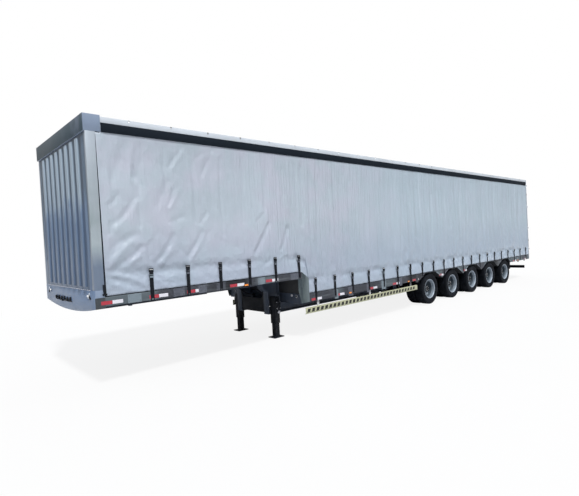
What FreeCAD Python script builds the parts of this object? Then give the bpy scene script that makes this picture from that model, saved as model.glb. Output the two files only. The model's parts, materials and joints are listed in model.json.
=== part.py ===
"""Five-axle step-deck curtain-side semi trailer, modelled in its own frame.

+X points forward, +Y to the left and +Z up. The origin lies on the floor, below the
middle of the overall length and on the centreline. All lengths are in millimetres.
"""
import FreeCAD, Part
import Sketcher
import os
import re

doc = FreeCAD.newDocument("SemiTrailer")

# ---------------------------------------------------------------- driving sizes
# alias, value, what it is
SIZES = (
    ("overall_length", 16600, "front of the header to the door gear"),
    ("body_width", 2500, "over the side raves"),
    ("body_height", 3840, "top of the front header above the floor"),
    ("upper_deck_height", 1330, "top of the upper deck"),
    ("lower_deck_height", 880, "top of the lower deck"),
    ("floor_thickness", 28, "both decks"),
    ("step_station", 3950, "upper deck's rear end, behind the front face"),
    ("coupling_height", 1080, "underside of the skid plate"),
    ("kingpin_station", 1000, "kingpin behind the front face"),
    # front end
    ("header_depth", 235, "height of the front header"),
    ("header_return", 236, "length of the header along each side"),
    ("header_sheet", 8, "wall of the header"),
    ("wall_setback", 25, "flat of the front wall behind the header's face"),
    ("wall_thickness", 25, "front wall"),
    ("apron_top", 1430, "weld line between wall and apron"),
    ("apron_thickness", 12, "apron sheet"),
    ("apron_edge_height", 1174, "apron's lower edge at the sides"),
    ("apron_radius", 8450, "radius of the apron's lower edge"),
    ("rib_count", 8, "ribs pressed into the front wall"),
    ("rib_pitch", 257, "spacing of the ribs"),
    ("rib_foot_width", 150, "rib where it leaves the wall"),
    ("rib_crest_width", 96, "rib at its crest"),
    ("rib_rise", 22, "rib's height above the wall"),
    ("rib_end_gap", 45, "plain wall above and below the ribs"),
    ("post_width", 90, "corner post across"),
    ("post_depth", 132, "corner post along the side"),
    ("post_sheet", 6, "wall of the corner posts"),
    ("post_return", 30, "corner post's rear return"),
    # sides
    ("rave_width", 60, "side rave across"),
    ("rave_sheet", 8, "wall of the side raves"),
    ("upper_rave_depth", 130, "height of the upper raves"),
    ("lower_rave_depth", 165, "height of the lower raves"),
    ("rail_drop", 20, "top of the cant rails below the header's top"),
    ("rail_depth", 95, "height of the cant rails"),
    ("rail_width", 64, "cant rails across"),
    ("rail_sheet", 6, "wall of the cant rails"),
    ("pelmet_depth", 120, "height of the pelmets"),
    ("pelmet_sheet", 4, "pelmet strip"),
    ("pelmet_overlap", 12, "pelmet over the cant rail"),
    ("roof_camber", 14, "rise of the roof at the centreline"),
    ("roof_sheet", 4, "roof skin"),
    ("curtain_sheet", 5, "side curtain"),
    ("curtain_lift", 12, "curtain's lower edge above the deck"),
    ("soft_gap", 0.3, "running space beside soft sheets and bores"),
    ("slope_front_rise", 50, "sloped curtain edge, height above the upper deck"),
    ("slope_rear_drop", 135, "sloped curtain edge, end below the upper deck"),
    ("slope_length", 180, "sloped curtain edge along the side"),
    ("strap_station", 840, "first strap behind the front face"),
    ("strap_upper_pitch", 608, "straps of the upper deck, one to the next"),
    ("strap_lower_station", 4320, "first strap of the lower deck behind the front face"),
    ("strap_end", 304, "last strap ahead of the rear frame"),
    ("strap_count", 27, "straps a side"),
    ("strap_upper_count", 6, "straps of them on the upper deck"),
    ("strap_width", 50, "webbing"),
    ("strap_sheet", 3, "webbing"),
    ("strap_reach", 470, "strap above the rave's lower edge"),
    ("buckle_length", 150, "strap buckle"),
    ("buckle_width", 62, "strap buckle"),
    ("buckle_height", 18, "strap buckle"),
    ("buckle_rise", 285, "buckle's foot above the rave's lower edge"),
    ("pillar_width", 70, "inner pillars across"),
    ("pillar_length", 100, "inner pillars along the side"),
    ("pillar_gap", 60, "inner pillars inside the curtain"),
    ("pillar_step_gap", 200, "foremost inner pillars ahead of the step"),
    ("pillar_pitch", 4100, "spacing of the inner pillars behind the step"),
    ("pole_radius", 17, "curtain tension poles"),
    ("pole_gap", 4, "tension poles to the posts"),
    # chassis
    ("beam_spacing", 920, "main beams, web to web"),
    ("flange_width", 150, "main beams"),
    ("flange_thickness", 16, "main beams"),
    ("web_thickness", 10, "main beams"),
    ("neck_station", 350, "front end of the main beams"),
    ("drop_station", 3635, "front face of the beams' drop"),
    ("drop_radius", 150, "curve from the neck into the drop"),
    ("beam_low", 470, "underside of the beams between the landing legs and the axles"),
    ("beam_high", 600, "underside of the beams over the axles"),
    ("taper_lead", 1152, "end of the deep beams ahead of the first axle"),
    ("taper_length", 420, "length of the beams' taper"),
    ("skid_thickness", 10, "skid plate"),
    ("skid_width", 1100, "skid plate"),
    ("skid_front", 60, "skid plate's front edge behind the front face"),
    ("skid_rear", 2200, "skid plate's rear edge behind the front face"),
    ("skid_nose_length", 170, "skid plate's turned-up front edge"),
    ("skid_nose_rise", 60, "skid plate's turned-up front edge"),
    ("kingpin_neck_radius", 25.4, "kingpin"),
    ("kingpin_root_radius", 36.5, "kingpin under the plate"),
    ("kingpin_foot_radius", 35.7, "kingpin's lower collar"),
    ("kingpin_root_length", 35, "kingpin"),
    ("kingpin_neck_length", 35, "kingpin"),
    ("kingpin_foot_length", 14, "kingpin"),
    ("bearer_depth", 80, "cross bearers under the decks"),
    ("bearer_width", 50, "cross bearers"),
    ("bearer_sheet", 6, "wall of the cross bearers"),
    ("bearer_inset", 90, "first cross bearer from a deck's end"),
    ("upper_bearers", 6, "cross bearers under the upper deck"),
    ("lower_bearers", 20, "cross bearers under the lower deck"),
    ("panel_sheet", 6, "step panel"),
    ("plate_reach", 115, "step's side plates ahead of the step"),
    ("plate_toe", 70, "slant at the foot of the side plates"),
    ("plate_toe_height", 265, "slant at the foot of the side plates"),
    ("bulkhead_sheet", 8, "bulkhead between the beams' drops"),
    ("bulkhead_low", 505, "bulkhead's lower edge"),
    ("bulkhead_sill", 790, "lower edge of the bulkhead's opening"),
    ("bulkhead_corner", 90, "corner radius of the bulkhead's opening"),
    ("bulkhead_strip", 30, "bulkhead beside its opening"),
    # wheels and running gear
    ("axle_count", 5, "axles"),
    ("axle_end", 2367, "last axle ahead of the rear frame"),
    ("axle_spacing", 1310, "axle to axle"),
    ("tyre_radius", 420, "tyre"),
    ("tyre_width", 248, "tyre"),
    ("tyre_bead_width", 196, "tyre at its bore"),
    ("tread_width", 210, "tyre at its tread"),
    ("tyre_inset", 20, "outer tyre inside the side face"),
    ("twin_spacing", 280, "twin tyres, centre to centre"),
    ("seat_radius", 247.6, "rim under the tyre"),
    ("rim_width", 214, "rim over its flanges"),
    ("rim_flange_radius", 265, "rim flange"),
    ("rim_sheet", 8, "rim"),
    ("rim_lip", 3, "tyre's wall outside the rim's flange"),
    ("disc_thickness", 12, "wheel disc"),
    ("disc_flat_radius", 172, "flat of the wheel disc"),
    ("disc_bend", 6, "bend of the wheel disc"),
    ("disc_edge", 20, "disc's outer side from the rim's edge"),
    ("disc_foot", 40, "disc's inner side from the rim's edge"),
    ("hub_overlap", 10, "discs inside the hub"),
    ("hub_radius", 104, "hub"),
    ("hub_cap_radius", 62, "hub cap"),
    ("hub_reach", 86, "hub outside the discs' joint"),
    ("hub_cap_length", 36, "hub cap"),
    ("drum_radius", 205, "brake drum"),
    ("drum_length", 215, "brake drum"),
    ("drum_wall", 14, "brake drum"),
    ("drum_gap", 12, "axle tube's end to the drum"),
    ("axle_radius", 63.5, "axle tube"),
    ("spindle_radius", 45, "axle spindle in the hub"),
    ("spindle_inset", 20, "spindle's end inside the hub"),
    ("hub_wall", 30, "hub's inner end around the spindle"),
    ("bore_gap", 0.3, "clearance of the hub on the spindle"),
    ("guard_top", 866, "underside of the mudguards' flat tops"),
    ("guard_sheet", 4, "mudguard"),
    ("guard_flat", 270, "mudguard's flat top each way from the axle"),
    ("guard_half", 645, "mudguard each way from the axle"),
    ("guard_fall", 201, "mudguard's ends below its flat top"),
    ("flap_station", 450, "mudflap behind the last axle"),
    ("flap_bottom", 478, "mudflap's lower edge"),
    ("guard_side_gap", 12, "mudguard inside the inner tyre"),
    ("guard_reach", 52, "mudguard under the rave"),
    ("arch_gap", 2, "deck and rave clear of the mudguards"),
    ("spring_width", 76, "leaf springs"),
    ("spring_leaf", 20, "main leaf"),
    ("spring_height", 60, "spring over the axle"),
    ("spring_seat", 22, "saddle between axle and spring"),
    ("saddle_half", 70, "saddle each way from the axle"),
    ("spring_flat", 90, "spring's flat each way from the axle"),
    ("spring_end_gap", 30, "spring's end to the hanger's middle"),
    ("spring_rise", 20, "spring's ends above its middle"),
    ("spring_pad", 80, "flat end of the main leaf"),
    ("hanger_length", 150, "spring hangers"),
    ("hanger_sheet", 10, "spring hangers"),
    ("hanger_drop", 150, "spring hangers below the beams"),
    ("hanger_space", 8, "spring to hanger"),
    # landing legs and guards
    ("leg_station", 3740, "landing legs behind the front face"),
    ("leg_width", 150, "leg housing across"),
    ("leg_length", 125, "leg housing along"),
    ("leg_top", 830, "top of the leg housing"),
    ("leg_foot_of_housing", 290, "lower end of the leg housing"),
    ("leg_tube_width", 110, "sliding leg"),
    ("foot_length", 260, "landing foot"),
    ("foot_width", 210, "landing foot"),
    ("foot_thickness", 16, "landing foot"),
    ("shaft_height", 640, "cross shaft of the landing legs"),
    ("shaft_radius", 16, "cross shaft of the landing legs"),
    ("shaft_hole_radius", 26, "hole for the cross shaft in the beams"),
    ("crank_reach", 720, "crank's arm from the centreline"),
    ("crank_length", 230, "crank's arm, stowed rearwards"),
    ("crank_grip", 110, "crank's grip"),
    ("crank_radius", 11, "crank rod"),
    ("guard_rail_front", 4000, "side guard's front end behind the front face"),
    ("guard_rail_lead", 707, "side guard's rear end ahead of the first axle"),
    ("guard_rail_bottom", 485, "side guard"),
    ("guard_rail_depth", 120, "side guard"),
    ("guard_rail_width", 30, "side guard"),
    ("guard_rail_sheet", 4, "side guard"),
    ("bracket_front", 400, "first guard bracket behind the side guard's front end"),
    ("bracket_rear", 265, "last guard bracket ahead of the side guard's rear end"),
    ("bracket_count", 3, "guard brackets a side"),
    ("bracket_width", 60, "guard brackets"),
    ("bracket_sheet", 12, "guard brackets"),
    ("tank_radius", 138, "air tanks"),
    ("tank_length", 760, "air tanks"),
    ("tank_lead", 1572, "foremost air tank ahead of the first axle"),
    ("tank_spacing", 330, "air tanks, one to the next"),
    ("sling_length", 90, "slings of the air tanks, along"),
    ("sling_width", 50, "slings of the air tanks, across"),
    # rear end
    ("gear_depth", 27, "door gear behind the doors"),
    ("door_thickness", 30, "rear doors"),
    ("door_gap", 8, "doors behind the rear frame"),
    ("door_meeting_gap", 10, "between the two doors"),
    ("door_edge", 45, "door's edge from the hinge axis"),
    ("hinge_inset", 7, "hinge axis inside the side face"),
    ("hinge_radius", 11, "hinge knuckles"),
    ("hinge_pin_radius", 6, "hinge pins"),
    ("hinge_pin_gap", 0.05, "clearance of the pins"),
    ("hinge_plate", 6, "hinge plates"),
    ("hinge_plate_gap", 5, "hinge plate's notch ahead of the frame's rear face"),
    ("hinge_plate_end", 20, "hinge plate's end behind the frame's front face"),
    ("hinge_side_gap", 4, "hinge axis inside the rear frame's side"),
    ("hinge_length", 150, "a whole hinge"),
    ("knuckle_length", 60, "door's knuckle"),
    ("knuckle_space", 1, "between the knuckles"),
    ("hinge_count", 4, "hinges a door"),
    ("hinge_end", 220, "outermost hinges from the door's ends"),
    ("frame_depth", 56, "rear frame along the side"),
    ("frame_post_width", 96, "rear frame's posts"),
    ("frame_head_depth", 215, "rear frame over the doors"),
    ("door_play", 10, "doors to the sill and the head"),
    ("rod_radius", 13, "lock rods"),
    ("rod_inset", 330, "outer lock rod from the door's edge"),
    ("rod_pitch", 420, "lock rod to lock rod"),
    ("rod_end_gap", 20, "lock rods short of the door's ends"),
    ("rod_guide_width", 90, "guides of the lock rods"),
    ("rod_guide_height", 50, "guides of the lock rods"),
    ("bumper_depth", 105, "rear bumper"),
    ("bumper_bottom", 350, "rear bumper"),
    ("bumper_width", 2100, "rear bumper"),
    ("bumper_thick", 90, "rear bumper along the trailer"),
    ("bumper_sheet", 8, "rear bumper"),
    ("bumper_stay_width", 80, "stays of the rear bumper"),
    ("bumper_stay_lap", 5, "stays inside the bumper's rear face"),
    ("bumper_stay_reach", 40, "stays ahead of the bumper"),
    ("bumper_overlap", 51, "rear bumper's front face ahead of the rear frame's rear face"),
    ("marker_station", 2570, "first side marker behind the front face"),
    ("marker_pitch", 2830, "first side marker to the second"),
    ("marker_lead", 1122, "third side marker ahead of the first axle"),
    ("marker_end", 1174, "last side marker ahead of the rear frame"),
    ("marker_lift", 12, "side markers above the raves' lower edges"),
    ("front_marker_inset", 320, "front markers from the side face"),
    ("front_marker_drop", 100, "front markers below the apron's top"),
    ("lamp_depth", 9, "marker lamps"),
    ("lamp_length", 96, "marker lamps"),
    ("lamp_height", 32, "marker lamps"),
    ("tail_lamp_width", 400, "tail lamps"),
    ("tail_lamp_height", 120, "tail lamps"),
    ("tail_lamp_depth", 45, "tail lamps"),
    ("tail_lamp_inset", 100, "tail lamps from the side face"),
    ("tail_lamp_lift", 20, "tail lamps above the raves' lower edges"),
    ("socket_first", 620, "outermost coupling right of the centreline"),
    ("socket_pitch", 154, "coupling to coupling"),
    ("socket_height", 1250, "couplings above the floor"),
    ("air_socket_radius", 28, "air coupling"),
    ("air_socket_reach", 24, "air coupling"),
    ("wire_socket_radius", 34, "electric coupling"),
    ("wire_socket_reach", 20, "electric coupling"),
)

# ---------------------------------------------------------------- derived places
# alias, formula
PLACES = (
    ("front_x", "overall_length / 2"),
    ("side_y", "body_width / 2"),
    ("header_bottom", "body_height - header_depth"),
    ("header_rear_x", "front_x - header_return"),
    ("wall_face_x", "front_x - wall_setback"),
    ("wall_rear_x", "wall_face_x - wall_thickness"),
    ("post_rear_x", "wall_face_x - post_depth"),
    ("step_x", "front_x - step_station"),
    ("upper_floor_z", "upper_deck_height - floor_thickness"),
    ("lower_floor_z", "lower_deck_height - floor_thickness"),
    ("rave_inner_y", "side_y - rave_width"),
    ("upper_rave_z", "upper_deck_height - upper_rave_depth"),
    ("lower_rave_z", "lower_deck_height - lower_rave_depth"),
    ("rail_top", "body_height - rail_drop"),
    ("rail_bottom", "rail_top - rail_depth"),
    ("pelmet_bottom", "rail_bottom - pelmet_depth"),
    ("hinge_x", "gear_depth - front_x"),
    ("hinge_y", "side_y - hinge_inset"),
    ("frame_rear_x", "hinge_x + door_thickness + door_gap"),
    ("frame_front_x", "frame_rear_x + frame_depth"),
    ("frame_side_y", "hinge_y + hinge_side_gap"),
    ("frame_head_z", "rail_top - frame_head_depth"),
    ("door_bottom", "lower_deck_height + door_play"),
    ("door_top", "frame_head_z + frame_head_depth - door_play"),
    ("curtain_y", "side_y - soft_gap - curtain_sheet"),
    ("strap_front_x", "front_x - strap_station"),
    ("strap_lower_x", "front_x - strap_lower_station"),
    ("strap_pitch", "(strap_lower_x - frame_front_x - strap_end) / (strap_count - strap_upper_count - 1)"),
    ("slope_x", "step_x - slope_length"),
    ("beam_y", "beam_spacing / 2"),
    ("flange_half", "flange_width / 2"),
    ("neck_x", "front_x - neck_station"),
    ("neck_bottom", "coupling_height + skid_thickness"),
    ("drop_x", "front_x - drop_station"),
    ("first_axle_x", "frame_front_x + axle_end + (axle_count - 1) * axle_spacing"),
    ("taper_x", "first_axle_x + taper_lead"),
    ("wheel_z", "tyre_radius"),
    ("outer_tyre_y", "side_y - tyre_inset - tyre_width / 2"),
    ("inner_tyre_y", "outer_tyre_y - twin_spacing"),
    ("disc_y", "outer_tyre_y - twin_spacing / 2"),
    ("guard_inner_y", "inner_tyre_y - tyre_width / 2 - guard_side_gap"),
    ("guard_width", "rave_inner_y - guard_inner_y + guard_reach"),
    ("tail_x", "frame_front_x"),
    ("arch_top", "guard_top + guard_sheet + arch_gap"),
    ("guard_run", "guard_half - guard_flat"),
    ("flap_fall", "(flap_station - guard_flat) / guard_run * guard_fall"),
    ("tip_half", "axle_spacing / 2 - guard_flat - (arch_top - lower_rave_z) / guard_fall * guard_run"),
    ("guard_rail_front_x", "front_x - guard_rail_front"),
    ("guard_rail_rear_x", "first_axle_x + guard_rail_lead"),
    ("bracket_front_x", "guard_rail_front_x - bracket_front"),
    ("bracket_pitch", "(bracket_front_x - guard_rail_rear_x - bracket_rear) / (bracket_count - 1)"),
    ("leg_x", "front_x - leg_station"),
    ("leg_inner_y", "beam_y + flange_half"),
)

sizes = doc.addObject("Spreadsheet::Sheet", "Sizes")
places = doc.addObject("Spreadsheet::Sheet", "Places")
SHEET = {}
for row, (alias, value, meaning) in enumerate(SIZES, 1):
    sizes.set("A%d" % row, alias)
    sizes.set("B%d" % row, str(value))
    sizes.set("C%d" % row, meaning)
    sizes.setAlias("B%d" % row, alias)
    SHEET[alias] = "Sizes."
for alias, text in PLACES:
    SHEET[alias] = "Places."

ALIAS = re.compile(r"[a-z]+(?:_[a-z]+)+")


def formula(text):
    """Write the sheet's name before every alias in a formula; each alias has an underscore."""
    return ALIAS.sub(lambda found: SHEET[found.group()] + found.group(), str(text))


for row, (alias, text) in enumerate(PLACES, 1):
    places.set("A%d" % row, alias)
    places.set("B%d" % row, "=" + formula(text))
    places.setAlias("B%d" % row, alias)
doc.recompute()


def value(text):
    """The number that a formula gives now."""
    return float(sizes.evalExpression(formula(text)))


# ---------------------------------------------------------------- shape helpers
AXES = {"x": (1, 0, 0), "y": (0, 1, 0), "z": (0, 0, 1)}
TURNS = {"x": ((0, 1, 0), 90), "y": ((1, 0, 0), -90), "z": ((0, 0, 1), 0)}
# plane of a sketch: its role in a body, and the sign of its normal along the third axis
PLANES = {"XY": ("XY_Plane", 1), "XZ": ("XZ_Plane", -1), "YZ": ("YZ_Plane", 1)}
finished = []


def sub_part(item, label):
    """Name a finished sub-part; the label also names its file."""
    item.Label = label
    finished.append(item)
    return item


def block(name, x, y, z):
    """A box between a low and a high formula along each axis."""
    box = doc.addObject("Part::Box", name)
    for side, axis, (low, high) in (("Length", "x", x), ("Width", "y", y), ("Height", "z", z)):
        box.setExpression(side, formula("(%s) - (%s)" % (high, low)))
        box.setExpression(".Placement.Base." + axis, formula(low))
    return box


def rod(name, axis, centre, radius, length):
    """A cylinder from centre along +axis; centre holds three formulas."""
    cylinder = doc.addObject("Part::Cylinder", name)
    turn, angle = TURNS[axis]
    cylinder.Placement = FreeCAD.Placement(FreeCAD.Vector(), FreeCAD.Rotation(FreeCAD.Vector(*turn), angle))
    cylinder.setExpression("Radius", formula(radius))
    cylinder.setExpression("Height", formula(length))
    for letter, text in zip("xyz", centre):
        cylinder.setExpression(".Placement.Base." + letter, formula(text))
    return cylinder


def fuse(name, items):
    """One solid from overlapping or touching items."""
    if len(items) == 1:
        return items[0]
    joined = doc.addObject("Part::MultiFuse", name)
    joined.Shapes = items
    joined.Refine = True
    return joined


def group(name, items):
    """Separate solids that share a node."""
    bundle = doc.addObject("Part::Compound", name)
    bundle.Links = items
    return bundle


def cut(name, base, tools):
    """The base less its tools."""
    result = doc.addObject("Part::Cut", name)
    result.Base = base
    result.Tool = tools[0] if len(tools) == 1 else fuse(name + "_tools", tools)
    result.Refine = True
    return result


def mirrored(name, item, normal=(0, 1, 0)):
    """The item's mirror image through a plane at the origin."""
    image = doc.addObject("Part::Mirroring", name)
    image.Source = item
    image.Normal = FreeCAD.Vector(*normal)
    return image


def both_sides(name, items):
    """The left-hand items and their right-hand images."""
    left = group(name + "_left", items)
    return group(name, [left, mirrored(name + "_right", left)])


def draw(sketch, outline):
    """Close an outline of points: (first, second) or (first, second, radius, side).

    A radius makes the edge to the next point an arc that bulges to the left (1) or to the
    right (-1) of the way there. Every point and radius is bound to its formula.
    """
    corners = [FreeCAD.Vector(value(point[0]), value(point[1]), 0) for point in outline]
    starts = []
    for index, point in enumerate(outline):
        here, there = corners[index], corners[(index + 1) % len(outline)]
        if len(point) == 2:
            sketch.addGeometry(Part.LineSegment(here, there))
            starts.append(1)
            continue
        radius = value(point[2])
        chord = there - here
        half = chord.Length / 2
        rise = radius - (max(radius * radius - half * half, 0)) ** 0.5
        left = FreeCAD.Vector(-chord.y, chord.x, 0).normalize()
        arc = Part.Arc(here, (here + there) * 0.5 + left * (rise * point[3]), there)
        number = sketch.addGeometry(arc)
        starts.append(1 if (sketch.getPoint(number, 1) - here).Length < 1e-6 else 2)
        bound = sketch.addConstraint(Sketcher.Constraint("Radius", number, radius))
        sketch.setExpression("Constraints[%d]" % bound, formula(point[2]))
    for index, point in enumerate(outline):
        following = (index + 1) % len(outline)
        end = 3 - starts[index]
        joint = ("Coincident", index, end, following, starts[following])
        sketch.addConstraint(Sketcher.Constraint(*joint))
        corner = corners[index]
        for kind, text, size in (("DistanceX", point[0], corner.x), ("DistanceY", point[1], corner.y)):
            bound = sketch.addConstraint(Sketcher.Constraint(kind, -1, 1, index, starts[index], size))
            sketch.setExpression("Constraints[%d]" % bound, formula(text))


def sketch_in(body, name, plane, offset="0"):
    """A sketch on one of the body's own planes, moved along the plane's axis."""
    role, sign = PLANES[plane]
    sketch = body.newObject("Sketcher::SketchObject", name)
    support = [item for item in body.Origin.OriginFeatures if item.Role == role][0]
    sketch.AttachmentSupport = [(support, "")]
    sketch.MapMode = "FlatFace"
    sketch.setExpression(".AttachmentOffset.Base.z", formula("%d * (%s)" % (sign, offset)))
    return sketch


def pad(name, plane, outline, low, high):
    """A body padded from an outline, between two formulas along the plane's axis."""
    body = doc.addObject("PartDesign::Body", name)
    sketch = sketch_in(body, name + "_sketch", plane, low)
    draw(sketch, outline)
    feature = body.newObject("PartDesign::Pad", name + "_pad")
    feature.Profile = sketch
    feature.Reversed = PLANES[plane][1] < 0
    feature.setExpression("Length", formula("(%s) - (%s)" % (high, low)))
    sketch.Visibility = False
    return body


def turned(name, outline):
    """A body of revolution about Y from an outline of (y, radius) points."""
    body = doc.addObject("PartDesign::Body", name)
    sketch = sketch_in(body, name + "_sketch", "YZ")
    draw(sketch, outline)
    feature = body.newObject("PartDesign::Revolution", name + "_revolution")
    feature.Profile = sketch
    feature.ReferenceAxis = (sketch, ["H_Axis"])
    feature.Angle = 360
    sketch.Visibility = False
    return body


def place(item, x="0", y="0", z="0", half_turn=False):
    """Put a finished body at a point, turned half round about Z where asked."""
    if half_turn:
        item.Placement = FreeCAD.Placement(FreeCAD.Vector(), FreeCAD.Rotation(FreeCAD.Vector(0, 0, 1), 180))
    for letter, text in zip("xyz", (x, y, z)):
        item.setExpression(".Placement.Base." + letter, formula(text))
    return item


def wheel_x(number):
    """Formula for the place of a wheel along the trailer."""
    return "first_axle_x - %d * axle_spacing" % number


axles = range(int(value("axle_count")))


# ---------------------------------------------------------------- main beams
def beam_outline(inset):
    """Side view of a main beam, drawn in by an inset all round."""
    top, deck, low, high = "upper_floor_z - %s", "lower_floor_z - %s", "beam_low + %s", "beam_high + %s"
    bend = "(drop_radius - %s)" % inset
    return (
        ("neck_x - %s" % inset, top % inset),
        ("neck_x - %s" % inset, "neck_bottom + %s" % inset),
        ("drop_x - %s + %s" % (inset, bend), "neck_bottom + %s" % inset, bend, 1),
        ("drop_x - %s" % inset, "neck_bottom + %s - %s" % (inset, bend)),
        ("drop_x - %s" % inset, low % inset),
        ("taper_x", low % inset),
        ("taper_x - taper_length", high % inset),
        ("tail_x + %s" % inset, high % inset),
        ("tail_x + %s" % inset, deck % inset),
        ("step_x + %s" % inset, deck % inset),
        ("step_x + %s" % inset, top % inset),
    )


def main_beams():
    """Two swan-necked I-beams, with a hole for the landing legs' cross shaft."""
    outer = pad("beam_blank", "XZ", beam_outline("0"), "beam_y - flange_half", "beam_y + flange_half")
    bays = []
    for name, low, high in (
        ("beam_bay_outside", "beam_y + web_thickness / 2", "beam_y + flange_half + 1"),
        ("beam_bay_inside", "beam_y - flange_half - 1", "beam_y - web_thickness / 2"),
    ):
        bays.append(pad(name, "XZ", beam_outline("flange_thickness"), low, high))
    start = ("leg_x", "beam_y - flange_half", "shaft_height")
    hole = rod("shaft_hole", "y", start, "shaft_hole_radius", "flange_width")
    sub_part(both_sides("beams", [cut("beam", outer, bays + [hole])]), "main_beams")


def bulkhead():
    """Plate between the beams' drops, open at the top, with rounded corners."""
    edge, inner = "(beam_y - flange_half)", "(beam_y - flange_half - bulkhead_strip)"
    top = "neck_bottom - drop_radius"
    outline = (
        ("0 - %s" % edge, "bulkhead_low"),
        (edge, "bulkhead_low"),
        (edge, top),
        (inner, top),
        (inner, "bulkhead_sill + bulkhead_corner", "bulkhead_corner", 1),
        ("%s - bulkhead_corner" % inner, "bulkhead_sill"),
        ("bulkhead_corner - %s" % inner, "bulkhead_sill", "bulkhead_corner", 1),
        ("0 - %s" % inner, "bulkhead_sill + bulkhead_corner"),
        ("0 - %s" % inner, top),
        ("0 - %s" % edge, top),
    )
    plate = pad("bulkhead_plate", "YZ", outline, "drop_x - 2 * bulkhead_sheet", "drop_x - bulkhead_sheet")
    sub_part(plate, "step_bulkhead")


# ---------------------------------------------------------------- coupling
def coupling():
    """Skid plate with a turned-up front edge, and the kingpin below it."""
    plate = pad(
        "skid",
        "XZ",
        (
            ("front_x - skid_front", "coupling_height + skid_nose_rise"),
            ("front_x - skid_front - skid_nose_length", "coupling_height"),
            ("front_x - skid_rear", "coupling_height"),
            ("front_x - skid_rear", "neck_bottom"),
            ("front_x - skid_front - skid_nose_length", "neck_bottom"),
            ("front_x - skid_front", "neck_bottom + skid_nose_rise"),
        ),
        "0 - skid_width / 2",
        "skid_width / 2",
    )
    x, y, z = "front_x - kingpin_station", "0", "coupling_height"
    root = "coupling_height - kingpin_root_length"
    neck = root + " - kingpin_neck_length"
    foot = neck + " - kingpin_foot_length"
    pin = fuse(
        "skid_with_kingpin",
        [
            plate,
            rod("pin_root", "z", (x, y, root), "kingpin_root_radius", "kingpin_root_length"),
            rod("pin_neck", "z", (x, y, neck), "kingpin_neck_radius", "kingpin_neck_length"),
            rod("pin_foot", "z", (x, y, foot), "kingpin_foot_radius", "kingpin_foot_length"),
        ],
    )
    sub_part(pin, "coupling_plate")


# ---------------------------------------------------------------- decks
def guard_line(number, lift):
    """A mudguard's line from its rear end to its front end, raised by a lift."""
    x = wheel_x(number)
    rear, fall = ("flap_station", "flap_fall") if number == axles[-1] else ("guard_half", "guard_fall")
    return (
        ("%s - %s" % (x, rear), "guard_top - %s + %s" % (fall, lift)),
        ("%s - guard_flat" % x, "guard_top + %s" % lift),
        ("%s + guard_flat" % x, "guard_top + %s" % lift),
        ("%s + guard_half" % x, "guard_top - guard_fall + %s" % lift),
    )


def arch(number):
    """Side view of the room that the deck and the raves leave for a mudguard."""
    line = guard_line(number, "guard_sheet + arch_gap")
    base = "guard_top - 2 * guard_fall"
    return line + ((line[-1][0], base), (line[0][0], base))


def decks():
    """Upper and lower floors; the lower one is hollowed over the wheels."""
    upper = block(
        "upper_floor",
        ("step_x", "wall_rear_x"),
        ("0 - rave_inner_y", "rave_inner_y"),
        ("upper_floor_z", "upper_deck_height"),
    )
    sub_part(upper, "upper_deck")
    lower = block(
        "lower_floor",
        ("frame_front_x", "step_x - panel_sheet"),
        ("0 - rave_inner_y", "rave_inner_y"),
        ("lower_floor_z", "lower_deck_height"),
    )
    wells = []
    for number in axles:
        well = pad("well_%d" % number, "XZ", arch(number), "guard_inner_y", "rave_inner_y + 1")
        wells += [well, mirrored("well_right_%d" % number, well)]
    sub_part(cut("lower_floor_cut", lower, wells), "lower_deck")
    step = block(
        "step_panel",
        ("step_x - panel_sheet", "step_x"),
        ("0 - rave_inner_y", "rave_inner_y"),
        ("lower_deck_height", "upper_deck_height"),
    )
    plate = pad(
        "step_side",
        "XZ",
        (
            ("step_x", "upper_rave_z"),
            ("step_x", "upper_deck_height"),
            ("slope_x", "upper_deck_height - slope_rear_drop"),
            ("slope_x", "lower_rave_z"),
            ("step_x + plate_reach - plate_toe", "lower_rave_z"),
            ("step_x + plate_reach", "lower_rave_z + plate_toe_height"),
            ("step_x + plate_reach", "upper_rave_z"),
        ),
        "side_y - rave_sheet",
        "side_y",
    )
    sub_part(group("step_group", [step, plate, mirrored("step_side_right", plate)]), "step_panels")


def bearer_row(name, count, first, last, floor, spans):
    """A row of channel-section cross bearers below a floor, one solid for each span."""
    body = doc.addObject("PartDesign::Body", name)
    body.AllowCompound = True
    sketch = sketch_in(body, name + "_sketch", "XZ", spans[0])
    depth = "%s - bearer_depth" % floor
    draw(
        sketch,
        (
            (first, floor),
            (first, depth),
            ("%s - bearer_width" % first, depth),
            ("%s - bearer_width" % first, "%s + bearer_sheet" % depth),
            ("%s - bearer_sheet" % first, "%s + bearer_sheet" % depth),
            ("%s - bearer_sheet" % first, "%s - bearer_sheet" % floor),
            ("%s - bearer_width" % first, "%s - bearer_sheet" % floor),
            ("%s - bearer_width" % first, floor),
        ),
    )
    feature = body.newObject("PartDesign::Pad", name + "_pad")
    feature.Profile = sketch
    feature.Reversed = True
    feature.setExpression("Length", formula("(%s) - (%s)" % (spans[1], spans[0])))
    pattern = body.newObject("PartDesign::LinearPattern", name + "_pattern")
    pattern.Originals = [feature]
    pattern.Direction = ([item for item in body.Origin.OriginFeatures if item.Role == "X_Axis"][0], [""])
    pattern.Reversed = True
    pattern.setExpression("Length", formula("(%s) - (%s)" % (first, last)))
    pattern.setExpression("Occurrences", formula(count))
    body.Tip = pattern
    sketch.Visibility = False
    return body


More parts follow.
